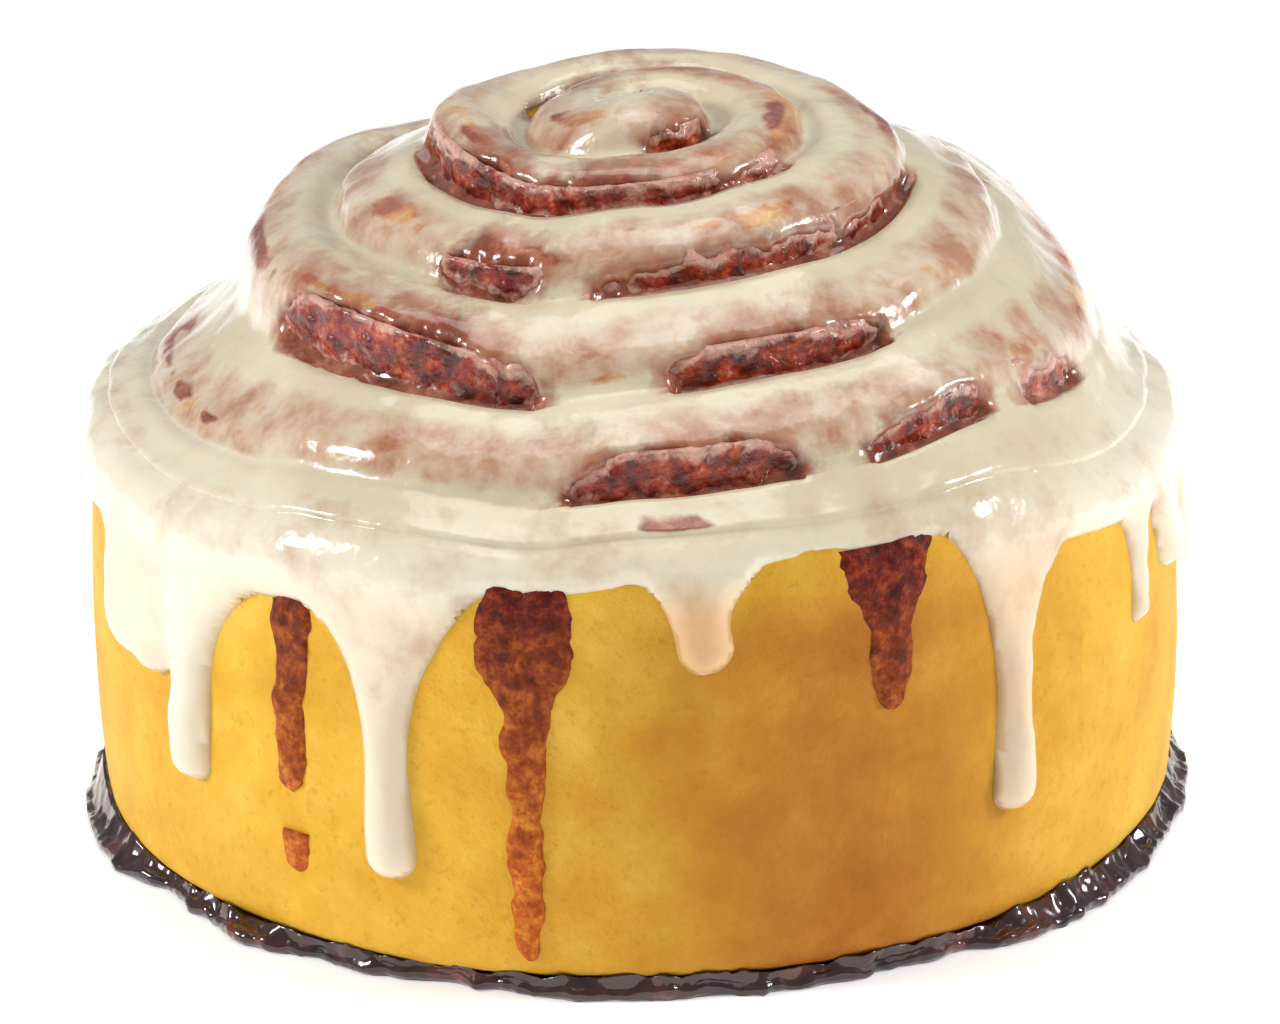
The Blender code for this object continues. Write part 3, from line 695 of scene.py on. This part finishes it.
def dough_section(turn):
    """Radii and heights down the dough's section: under, wall, shoulder, crown and inner face."""
    s = strip(turn)
    high = s.lip - s.down
    low = DOUGH_BOTTOM + s.foot
    rows = [(s.inner, DOUGH_BOTTOM + 0.0 * turn)]
    for a in np.linspace(0.0, 90.0, 7):
        lean = math.radians(a)
        height = DOUGH_BOTTOM + s.foot * (1.0 - math.cos(lean))
        rows.append((s.outer - s.foot * (1.0 - math.sin(lean)), height))
    for part in np.linspace(0.0, 1.0, 24)[1:]:
        height = low + (high - low) * part
        rows.append((s.outer + s.bulge * (1.0 - (2.0 * part - 1.0) ** 2), height))
    for a in np.linspace(0.0, 90.0, 7)[1:]:
        lean = math.radians(a)
        rows.append((s.outer - s.across * (1.0 - math.cos(lean)), high + s.down * math.sin(lean)))
    rows.append((s.middle, s.crown))
    rows.append((0.5 * (s.inner + s.middle), 0.4 * s.inner_top + 0.6 * s.crown))
    rows.append((s.inner, s.inner_top))
    rows.append((s.inner, 0.5 * (s.inner_top + DOUGH_BOTTOM)))
    return rows


def make_dough(material):
    """The coiled dough, with the slight waves of its side."""
    columns = np.arange(round(EYE_START_TURN * DOUGH_COLUMNS), round(TAIL_TURN * DOUGH_COLUMNS) + 1)
    turns = columns / DOUGH_COLUMNS
    rings = np.stack([place(r, turns, z) for r, z in dough_section(turns)], axis=1)
    many, count = rings.shape[:2]
    points = rings.reshape(-1, 3)
    turn = np.repeat(turns, count)
    on_wall = ease((turn - WALL_TURN) / 0.05) * np.tile(np.arange(count) > 1, many)
    waves = 0.28 * rough(points * [1.0, 1.0, 0.35], 14.0, 21) + 0.07 * rough(points * [1.0, 1.0, 0.5], 3.0, 23)
    points = points + outward(points) * (waves * on_wall)[:, None]
    faces = grid_faces(many, count, across=True).tolist()
    faces += [list(range(count)), list(range((many - 1) * count, many * count))[::-1]]
    # Darkening of the wall: browning at the back, and painted shade right of the front
    browned = 0.1 * rough(points, 11.0, 29)
    for middle, reach, much in BROWNING_AND_SHADE:
        off = away_from(middle, degrees_at(turn)) / reach
        browned = browned + much * np.exp(-off * off) * (0.8 + 0.2 * rough(points, 16.0, 27))
    marks = {"browned": np.clip(browned, 0.0, 1.0) * ease((46.0 - points[:, 2]) / 12.0)}
    return mesh_piece("dough_body", points, faces, material, marks)


FILLING_STEP = 0.36
FILLING_TURNS = (0.31, 5.27)
FILLING_BOTTOM = 1.8
FILLING_HALF = 0.6
FACE_ROWS = 20


def make_filling(material):
    """The sheet of filling between the turns, lumpy with sugar and cinnamon where it shows."""
    fine = np.linspace(*FILLING_TURNS, 4000)
    run = math.pi * PITCH * fine ** 2
    turns = np.interp(np.arange(run[0], run[-1], FILLING_STEP), run, fine)
    crevice = crevice_height(turns)
    shown = np.zeros(len(turns))
    for start, end, _, _ in BARE_PLACES:
        off = np.maximum(start - turns, turns - end) * 2.0 * math.pi * PITCH * turns
        shown = np.maximum(shown, ease(1.0 - off / 2.0))
    top = strip(turns).lip - 1.9 + 2.0 * shown
    bottom = 0.0 * turns + FILLING_BOTTOM
    rows = [(-FILLING_HALF, top - 0.6), (-0.25, top)]
    for part in np.linspace(0.0, 1.0, FACE_ROWS):
        rows.append((0.1, top - 0.3 + (crevice + 0.5 - top) * part))
    rows += [(0.3, bottom), (-FILLING_HALF, bottom)]
    rings = np.stack([place(PITCH * turns + off, turns, z) for off, z in rows], axis=1)
    many, count = rings.shape[:2]
    points = rings.reshape(-1, 3)
    inside = bare_distance(points, np.repeat(turns, count))
    bare = ease(0.5 + (inside + 0.6) / 1.6)
    face = np.tile((np.arange(count) >= 1) & (np.arange(count) < count - 2), many)
    grain = 0.4 * rough(points, 1.9, 31) + 0.3 * np.maximum(noise(points, 0.9, 37), 0.0)
    points = points + outward(points) * (face * bare * (0.3 + grain))[:, None]
    faces = turned_over(grid_faces(many, count, across=True)).tolist()
    faces += [list(range(count))[::-1], list(range((many - 1) * count, many * count))]
    return mesh_piece("filling_sheet", points, faces, material, {"glazed": ease(1.0 - inside / 1.1)})


FOOT_COLUMNS = 1300
FOOT_ROWS = 13
FOOT_LIMITS = (-1.6, 2.3)
SHARD_AT = -86.0

# How far the broken edge of the caramel stands out: degrees and mm
FOOT_REACH = [(-181.0, 1.4), (-95.0, 2.4), (-82.0, 2.6), (-71.0, 1.8), (-62.0, -0.5), (-53.0, -0.3),
              (-47.0, 1.2), (-38.0, -0.6), (-20.0, -1.4), (-5.0, -0.4), (20.0, -0.8), (33.0, -1.0),
              (44.0, 1.6), (56.0, 1.6), (70.0, 1.0), (90.0, 1.6), (140.0, 1.0), (181.0, 1.4)]


def make_foot(material):
    """Set caramel under the roll, broken to a ragged, lumpy edge and drawn up against the dough."""
    degrees = np.linspace(-180.0, 180.0, FOOT_COLUMNS, endpoint=False)
    turn = FRONT_TURN - degrees / 360.0
    turn = np.where(turn < WALL_TURN, turn + 1.0, turn)
    angle = np.radians(degrees)
    ring = np.stack([np.sin(angle), -np.cos(angle), 0.0 * angle], axis=-1) * WALL_REACH
    chunks = 1.0 - 2.0 * np.abs(noise(ring, 5.5, 41))
    ragged = 0.5 * rough(ring, 12.0, 43) + 0.6 * chunks + 0.45 * rough(ring, 2.6, 45)
    reach = np.clip(along(FOOT_REACH, degrees) + ragged, *FOOT_LIMITS)
    climb = 2.2 + 0.4 * np.maximum(reach, 0.0) + 0.7 * rough(ring, 7.0, 47) + 0.5 * noise(ring, 2.0, 48)
    climb = climb + 2.6 * np.exp(-((degrees - SHARD_AT) / 7.0) ** 2)
    stand = tail_stand_off(turn)
    wall = wall_radius(turn, climb) + stand
    dough = strip(turn).outer
    rim = dough + stand + reach
    level = 0.0 * rim
    rows = [(0.5 * rim, level), (rim - 0.4, level), (rim, level + 0.4), (rim, level + 0.9)]
    for part in np.linspace(0.0, 1.0, FOOT_ROWS)[1:]:
        across = rim - 0.4 + (wall + 0.35 - rim + 0.4) * part
        rows.append((across, 1.2 + (climb - 1.2) * part ** 1.6))
    rows += [(wall - 0.35, climb - 0.5), (dough - 5.0, level + 1.2)]
    rings = np.stack([place(r, turn, z) for r, z in rows], axis=1)
    many, count = rings.shape[:2]
    points = rings.reshape(-1, 3)
    shown = np.tile((np.arange(count) > 1) & (np.arange(count) < count - 2), many)
    lumps = 0.55 * rough(points, 2.4, 51) + 0.45 * (0.4 - np.abs(noise(points, 2.8, 53)))
    lumps = lumps + 0.2 * noise(points, 0.9, 57)
    points[:, 2] = np.maximum(points[:, 2] + shown * np.maximum(lumps, -0.4), 0.0)
    faces = grid_faces(many, count, around=True).tolist()
    faces += [list(range(0, many * count, count))[::-1], list(range(count - 1, many * count, count))]
    return mesh_piece("caramel_foot", points, faces, material)


RUN_ROW = 0.4
RUN_POINTS_ACROSS = 25
RUN_DEPTH = 0.42

# Cinnamon runs on the wall: degrees, and (height, half width) up each
RUNS = {
    "cinnamon_run_left": (-39.4, [(18.2, 1.2), (23.0, 1.6), (28.0, 1.4), (33.0, 1.8), (38.5, 2.0)]),
    "cinnamon_run_left_drop": (-39.2, [(9.8, 0.9), (11.8, 1.3), (13.8, 1.0)]),
    "cinnamon_run_middle": (-12.9, [(4.5, 0.8), (10.0, 1.3), (20.0, 1.3), (29.0, 1.9), (35.0, 4.4),
                                    (43.0, 4.2)]),
    "cinnamon_run_right": (25.4, [(28.0, 1.2), (31.0, 2.0), (36.0, 2.4), (40.0, 4.2), (43.8, 5.2)]),
}


def make_run(node, degrees, widths, material):
    """A run of thick, grainy cinnamon down the wall."""
    bottom = widths[0][0] - 0.6
    heights = np.arange(bottom, widths[-1][0], RUN_ROW)
    z, part = np.meshgrid(heights, np.linspace(-1.0, 1.0, RUN_POINTS_ACROSS), indexing="ij")
    half = along(widths, z) + 0.35
    flat = np.stack([part * half, 0.0 * z, z], axis=-1).reshape(-1, 3) + degrees
    wobble = 0.9 * rough(flat, 2.6, 61).reshape(z.shape)
    grain = 0.42 * rough(flat, 1.3, 63).reshape(z.shape)
    end = np.clip((z - bottom) / 1.2, 0.0, 1.0) ** 0.5
    angle = degrees + np.degrees((part * (half * end + wobble * np.abs(part))) / WALL_REACH)
    turn = FRONT_TURN - angle / 360.0
    dome = np.sqrt(np.clip(1.0 - np.abs(part) ** 3, 0.0, 1.0)) * np.clip((z - bottom) / 0.8, 0.0, 1.0)
    depth = dome * (RUN_DEPTH + grain) - 0.15 * (1.0 - dome)
    outer = place(wall_radius(turn, z) + depth, turn, z).reshape(-1, 3)
    inner = place(wall_radius(turn, z) - 0.4, turn, z).reshape(-1, 3)
    points, faces = closed_shell(outer, inner, turned_over(grid_faces(*z.shape)))
    return mesh_piece(node + "_grain", points, faces, material)


def colour(hex_code):
    """Linear colour from an sRGB hex code."""
    channels = [int(hex_code[i:i + 2], 16) / 255.0 for i in (0, 2, 4)]
    return tuple(c / 12.92 if c <= 0.04045 else ((c + 0.055) / 1.055) ** 2.4 for c in channels) + (1.0,)


def lumps(size):
    """Scale of a noise whose lumps are a size in mm across."""
    return 1.0 / (size * MM)


def new_material(name, look):
    """Material, its node tree and its shader, with the look's constants on the shader's own sockets."""
    material = bpy.data.materials.new(name)
    material.use_nodes = True
    shader = material.node_tree.nodes["Principled BSDF"]
    for socket, value in look.items():
        shader.inputs[socket].default_value = value
    return material, material.node_tree, shader


def add_node(tree, kind, settings=None, links=None):
    """Shader node with its settings; links name an input and what feeds it, stops give a ramp's colours."""
    node = tree.nodes.new("ShaderNode" + kind)
    for key, value in (settings or {}).items():
        if key == "stops":
            elements = node.color_ramp.elements
            while len(elements) < len(value):
                elements.new(0.5)
            for element, (position, code) in zip(elements, value):
                element.position = position
                element.color = colour(code)
        elif str(key) in node.bl_rna.properties:
            setattr(node, key, value)
        else:
            node.inputs[key].default_value = value
    for key, source in (links or {}).items():
        tree.links.new(source, node.inputs[key])
    return node


def icing_base(tree, where, thin, patches):
    """Cream of the icing, whiter where it gathered thick in the drips and blushed where it is thin."""
    cloud = add_node(tree, "TexNoise", {"Scale": lumps(13.333), "Detail": 4.0, "Roughness": 0.55},
                     {"Vector": where})
    cream = add_node(tree, "ValToRGB", {"stops": [(0.3, "cfc1a2"), (0.5, "d9ccae"), (0.7, "e2d7bd")]},
                     {"Fac": cloud.outputs["Fac"]}).outputs["Color"]
    height = add_node(tree, "SeparateXYZ", links={"Vector": where}).outputs["Z"]
    pooled = add_node(tree, "MapRange", {"From Min": 0.047, "From Max": 0.041, "To Max": 0.7},
                      {"Value": height}).outputs["Result"]
    filled = add_node(tree, "Mix", {"data_type": "RGBA", 7: colour("f6eedc")},
                      {0: pooled, 6: cream}).outputs[2]
    blush = add_node(tree, "ValToRGB",
                     {"stops": [(0.34, "b07a5a"), (0.45, "c0967a"), (0.55, "ccac98"), (0.66, "d8c0b0")]},
                     {"Fac": patches}).outputs["Color"]
    veil = add_node(tree, "Math", {"operation": "MULTIPLY_ADD", 1: -1.7}, {0: patches, 2: thin})
    worn = add_node(tree, "MapRange", {"From Min": -0.34, "From Max": 0.34, "To Max": 0.92},
                    {"Value": veil.outputs[0]}).outputs["Result"]
    return add_node(tree, "Mix", {"data_type": "RGBA"}, {0: worn, 6: filled, 7: blush}).outputs[2]


def crust_spots(tree, where, thin, patches, base):
    """The icing's colour with the orange crust showing through in spots and streaks."""
    crust = add_node(tree, "TexNoise",
                     {"Scale": lumps(4.1667), "Detail": 4.0, "Roughness": 0.6, "Distortion": 0.6},
                     {"Vector": where})
    spotted = add_node(tree, "Math", {"operation": "MULTIPLY"}, {0: crust.outputs["Fac"], 1: thin})
    streaks = add_node(tree, "Attribute", {"attribute_name": "crust"}).outputs["Fac"]
    shown = add_node(tree, "Math", {"operation": "MULTIPLY_ADD", 1: 0.35},
                     {0: streaks, 2: spotted.outputs[0]})
    spots = add_node(tree, "MapRange", {"From Min": 0.56, "From Max": 0.74, "To Max": 0.8},
                     {"Value": shown.outputs[0]}).outputs["Result"]
    tone = add_node(tree, "ValToRGB", {"stops": [(0.42, "a2502e"), (0.52, "cf8a45"), (0.62, "dea75c")]},
                    {"Fac": patches}).outputs["Color"]
    return add_node(tree, "Mix", {"data_type": "RGBA"}, {0: spots, 6: base, 7: tone}).outputs[2]


def cinnamon_stains(tree, where, base):
    """The icing's colour with cinnamon soaked in round the bare places."""
    stain = add_node(tree, "Attribute", {"attribute_name": "stain"}).outputs["Fac"]
    specks = add_node(tree, "TexNoise", {"Scale": lumps(2.381), "Detail": 4.0, "Roughness": 0.65},
                      {"Vector": where}).outputs["Fac"]
    soak = add_node(tree, "Math", {"operation": "ADD"}, {0: stain, 1: specks})
    soaked = add_node(tree, "MapRange", {"From Min": 0.85, "From Max": 1.35},
                      {"Value": soak.outputs[0]}).outputs["Result"]
    brown = add_node(tree, "ValToRGB", {"stops": [(0.35, "6b2a1a"), (0.55, "9c5236"), (0.72, "c48a68")]},
                     {"Fac": specks}).outputs["Color"]
    return add_node(tree, "Mix", {"data_type": "RGBA"}, {0: soaked, 6: base, 7: brown}).outputs[2]


def sugar_icing():
    """Powdered-sugar icing, poured warm: glossy and creamy in its pools, thin enough on the risers to blush."""
    material, tree, shader = new_material("poured_sugar_icing", {
        "Roughness": 0.22, "IOR": 1.46, "Coat Weight": 0.7, "Coat Roughness": 0.05,
        "Subsurface Weight": 0.3, "Subsurface Radius": (1.0, 0.7, 0.45), "Subsurface Scale": 0.0012})
    where = add_node(tree, "TexCoord").outputs["Object"]
    thin = add_node(tree, "Attribute", {"attribute_name": "thin"}).outputs["Fac"]
    sheer = add_node(tree, "Attribute", {"attribute_name": "sheer"}).outputs["Fac"]
    patches = add_node(tree, "TexNoise", {"Scale": lumps(6.6667), "Detail": 5.0, "Roughness": 0.6},
                       {"Vector": where}).outputs["Fac"]
    base = icing_base(tree, where, thin, patches)
    freckled = crust_spots(tree, where, thin, patches, base)
    warmed = add_node(tree, "Mix", {"data_type": "RGBA", 7: colour("dba968")},
                      {0: sheer, 6: freckled}).outputs[2]
    tree.links.new(cinnamon_stains(tree, where, warmed), shader.inputs["Base Color"])
    dents = add_node(tree, "TexNoise", {"Scale": lumps(3.8462), "Detail": 3.0, "Roughness": 0.5},
                     {"Vector": where})
    bump = add_node(tree, "Bump", {"Strength": 0.5, "Distance": 0.0009}, {"Height": dents.outputs["Fac"]})
    tree.links.new(bump.outputs["Normal"], shader.inputs["Normal"])
    return material


def baked_dough():
    """Soft enriched dough, baked in a tin: matt and golden with fine pores, browner where the tin was hot, with
    painted shade darkening the wall right of the front.
    """
    material, tree, shader = new_material("baked_enriched_dough", {
        "Roughness": 0.55, "Specular IOR Level": 0.2, "Subsurface Weight": 0.2,
        "Subsurface Radius": (1.0, 0.55, 0.2), "Subsurface Scale": 0.0012})
    where = add_node(tree, "TexCoord").outputs["Object"]
    browned = add_node(tree, "Attribute", {"attribute_name": "browned"}).outputs["Fac"]
    cloud = add_node(tree, "TexNoise", {"Scale": lumps(8.3333), "Detail": 6.0, "Roughness": 0.62},
                     {"Vector": where}).outputs["Fac"]
    golden = add_node(tree, "ValToRGB",
                      {"stops": [(0.3, "d69d2a"), (0.45, "dfaa30"), (0.58, "e5b43a"), (0.72, "ecc24e")]},
                      {"Fac": cloud}).outputs["Color"]
    # Darker colour for both the browning and the painted shade right of the front
    baked = add_node(tree, "ValToRGB", {"stops": [(0.32, "944a10"), (0.5, "a25614"), (0.7, "b66c20")]},
                     {"Fac": cloud}).outputs["Color"]
    body = add_node(tree, "Mix", {"data_type": "RGBA"}, {0: browned, 6: golden, 7: baked}).outputs[2]
    pores = add_node(tree, "TexNoise", {"Scale": lumps(1.1111), "Detail": 3.0, "Roughness": 0.7},
                     {"Vector": where}).outputs["Fac"]
    dark = add_node(tree, "MapRange", {"From Min": 0.56, "From Max": 0.74, "To Max": 0.32},
                    {"Value": pores}).outputs["Result"]
    tone = add_node(tree, "Mix", {"data_type": "RGBA", 7: colour("a8651f")}, {0: dark, 6: body}).outputs[2]
    tree.links.new(tone, shader.inputs["Base Color"])
    bump = add_node(tree, "Bump", {"Strength": 0.5, "Distance": 0.0004}, {"Height": pores})
    tree.links.new(bump.outputs["Normal"], shader.inputs["Normal"])
    return material


def cinnamon_paste():
    """Brown sugar and cinnamon, melted to a moist grainy paste: dark red-brown, its edges smeared with icing,
    with painted glints in its palest grains and painted highlight streaks.
    """
    material, tree, shader = new_material("moist_cinnamon_sugar", {
        "Roughness": 0.28, "Coat Weight": 0.25, "Coat Roughness": 0.08})
    where = add_node(tree, "TexCoord").outputs["Object"]
    grain = add_node(tree, "TexNoise", {"Scale": lumps(2.381), "Detail": 5.0, "Roughness": 0.65},
                     {"Vector": where})
    # The palest stop is painted glints on the sugary grains
    tone = add_node(tree, "ValToRGB", {"stops": [(0.34, "360a03"), (0.45, "6a1707"), (0.54, "942a0f"),
                                                           (0.63, "bd5430"), (0.74, "e4a88e")]},
                    {"Fac": grain.outputs["Fac"]}).outputs["Color"]
    glazed = add_node(tree, "Attribute", {"attribute_name": "glazed"}).outputs["Fac"]
    # Pale streaks: icing smeared near the bare edges, and painted highlight streaks all over the paste
    smears_and_highlights = add_node(tree, "TexNoise",
                      {"Scale": lumps(2.0833), "Detail": 5.0, "Roughness": 0.68, "Distortion": 1.2},
                      {"Vector": where})
    coat = add_node(tree, "Math", {"operation": "MULTIPLY_ADD", 1: 0.3},
                    {0: glazed, 2: smears_and_highlights.outputs["Fac"]})
    over = add_node(tree, "MapRange", {"From Min": 0.58, "From Max": 0.84, "To Max": 0.8},
                    {"Value": coat.outputs[0]}).outputs["Result"]
    smeared_and_glinting = add_node(tree, "Mix", {"data_type": "RGBA", 7: colour("dcae9c")}, {0: over, 6: tone}).outputs[2]
    tree.links.new(smeared_and_glinting, shader.inputs["Base Color"])
    crumbs = add_node(tree, "TexNoise", {"Scale": lumps(1.4286), "Detail": 3.0, "Roughness": 0.6},
                      {"Vector": where})
    bump = add_node(tree, "Bump", {"Strength": 0.7, "Distance": 0.0006}, {"Height": crumbs.outputs["Fac"]})
    tree.links.new(bump.outputs["Normal"], shader.inputs["Normal"])
    return material


def set_caramel():
    """Caramelised sugar that ran into the tin and set: almost black, glassy and ragged."""
    material, tree, shader = new_material("set_dark_caramel", {
        "Roughness": 0.2, "Coat Weight": 0.8, "Coat Roughness": 0.06})
    where = add_node(tree, "TexCoord").outputs["Object"]
    grain = add_node(tree, "TexNoise", {"Scale": lumps(3.8462), "Detail": 4.0}, {"Vector": where})
    tone = add_node(tree, "ValToRGB", {"stops": [(0.4, "1f0809"), (0.58, "3b1512"), (0.72, "6a3327")]},
                    {"Fac": grain.outputs["Fac"]}).outputs["Color"]
    tree.links.new(tone, shader.inputs["Base Color"])
    return material


def wet_cinnamon():
    """Cinnamon sugar washed down the side: thick and red-brown above, thin and orange where it dried below."""
    material, tree, shader = new_material("washed_cinnamon_sugar", {
        "Roughness": 0.5, "Specular IOR Level": 0.2})
    where = add_node(tree, "TexCoord").outputs["Object"]
    height = add_node(tree, "SeparateXYZ", links={"Vector": where}).outputs["Z"]
    fresh = add_node(tree, "MapRange", {"From Min": 0.012, "From Max": 0.04},
                     {"Value": height}).outputs["Result"]
    grain = add_node(tree, "TexNoise", {"Scale": lumps(1.4286), "Detail": 4.0, "Roughness": 0.7},
                     {"Vector": where}).outputs["Fac"]
    upper = add_node(tree, "ValToRGB", {"stops": [(0.36, "3c0a04"), (0.5, "681706"), (0.66, "963c10")]},
                     {"Fac": grain}).outputs["Color"]
    lower = add_node(tree, "ValToRGB", {"stops": [(0.34, "983f0e"), (0.5, "be5e16"), (0.66, "de902c")]},
                     {"Fac": grain}).outputs["Color"]
    tone = add_node(tree, "Mix", {"data_type": "RGBA"}, {0: fresh, 6: lower, 7: upper}).outputs[2]
    tree.links.new(tone, shader.inputs["Base Color"])
    bump = add_node(tree, "Bump", {"Strength": 0.6, "Distance": 0.0005}, {"Height": grain})
    tree.links.new(bump.outputs["Normal"], shader.inputs["Normal"])
    return material


def paper_floor():
    """Smooth white paper for the roll to stand on, evenly lit."""
    return new_material("white_paper_floor", {
        "Base Color": colour("fbfaf8"), "Roughness": 0.9, "Emission Color": (1.0, 1.0, 1.0, 1.0),
        "Emission Strength": 0.36})[0]


FLOOR_HALF = 3.0
ROOM_LIGHT = 0.345
LIT_SPOT = Vector((0.0, 0.0, 0.04))

# Soft lamps: name, place in metres, width, watts
LAMPS = [("left_lamp", (-0.6, -0.14, 0.36), 0.14, 2.6), ("right_lamp", (0.6, -0.1, 0.34), 0.14, 2.4),
         ("top_softbox", (0.0, 0.1, 0.7), 0.5, 1.7)]

CAMERA_LENS = 286.9
CAMERA_AIM = Vector((-0.0008, 0.0, 0.02915))
CAMERA_AWAY = 1.0
CAMERA_ELEVATION = 21.5
CAMERA_ROLL = -1.0


def lay_floor():
    """Wide pale floor."""
    mesh = bpy.data.meshes.new("floor")
    corners = [(x * FLOOR_HALF, y * FLOOR_HALF, 0) for x, y in ((-1, -1), (1, -1), (1, 1), (-1, 1))]
    mesh.from_pydata(corners, [], [(0, 1, 2, 3)])
    mesh.materials.append(paper_floor())
    floor = bpy.data.objects.new("floor", mesh)
    bpy.context.scene.collection.objects.link(floor)


def light_studio():
    """Even white room light, a soft lamp at each side and a softbox above."""
    world = bpy.data.worlds.new("studio")
    bpy.context.scene.world = world
    world.use_nodes = True
    background = world.node_tree.nodes["Background"]
    background.inputs["Color"].default_value = (1.0, 1.0, 1.0, 1.0)
    background.inputs["Strength"].default_value = ROOM_LIGHT
    for name, spot, size, power in LAMPS:
        data = bpy.data.lights.new(name, "AREA")
        data.size = size
        data.energy = power
        light = bpy.data.objects.new(name, data)
        light.location = spot
        light.rotation_euler = (LIT_SPOT - Vector(spot)).to_track_quat("-Z", "Y").to_euler()
        bpy.context.scene.collection.objects.link(light)


def set_camera():
    """Camera at the photograph's angle, turned by its slight roll."""
    data = bpy.data.cameras.new("camera")
    data.lens = CAMERA_LENS
    data.sensor_width = 36.0
    data.clip_start = 0.01
    camera = bpy.data.objects.new("camera", data)
    elevation = math.radians(CAMERA_ELEVATION)
    camera.location = CAMERA_AIM + CAMERA_AWAY * Vector((0.0, -math.cos(elevation), math.sin(elevation)))
    level = (CAMERA_AIM - camera.location).to_track_quat("-Z", "Y")
    roll = Quaternion((0.0, 0.0, 1.0), math.radians(CAMERA_ROLL))
    camera.rotation_euler = (level @ roll).to_euler()
    bpy.context.scene.collection.objects.link(camera)
    bpy.context.scene.camera = camera


def dress(piece, slot, *nodes):
    """Piece that rides on the roll and stands for its solids."""
    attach(piece, "root")
    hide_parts(*nodes)


lay_floor()
light_studio()
set_camera()
bpy.context.scene.view_settings.view_transform = "Standard"
dress(make_dough(baked_dough()), "dough", "dough")
dress(make_filling(cinnamon_paste()), "filling", "cinnamon_filling")
dress(make_icing(sugar_icing()), "icing", "icing")
dress(make_foot(set_caramel()), "caramel", "caramel_base")
run_material = wet_cinnamon()
for node, (degrees, widths) in RUNS.items():
    dress(make_run(node, degrees, widths, run_material), "run", node)
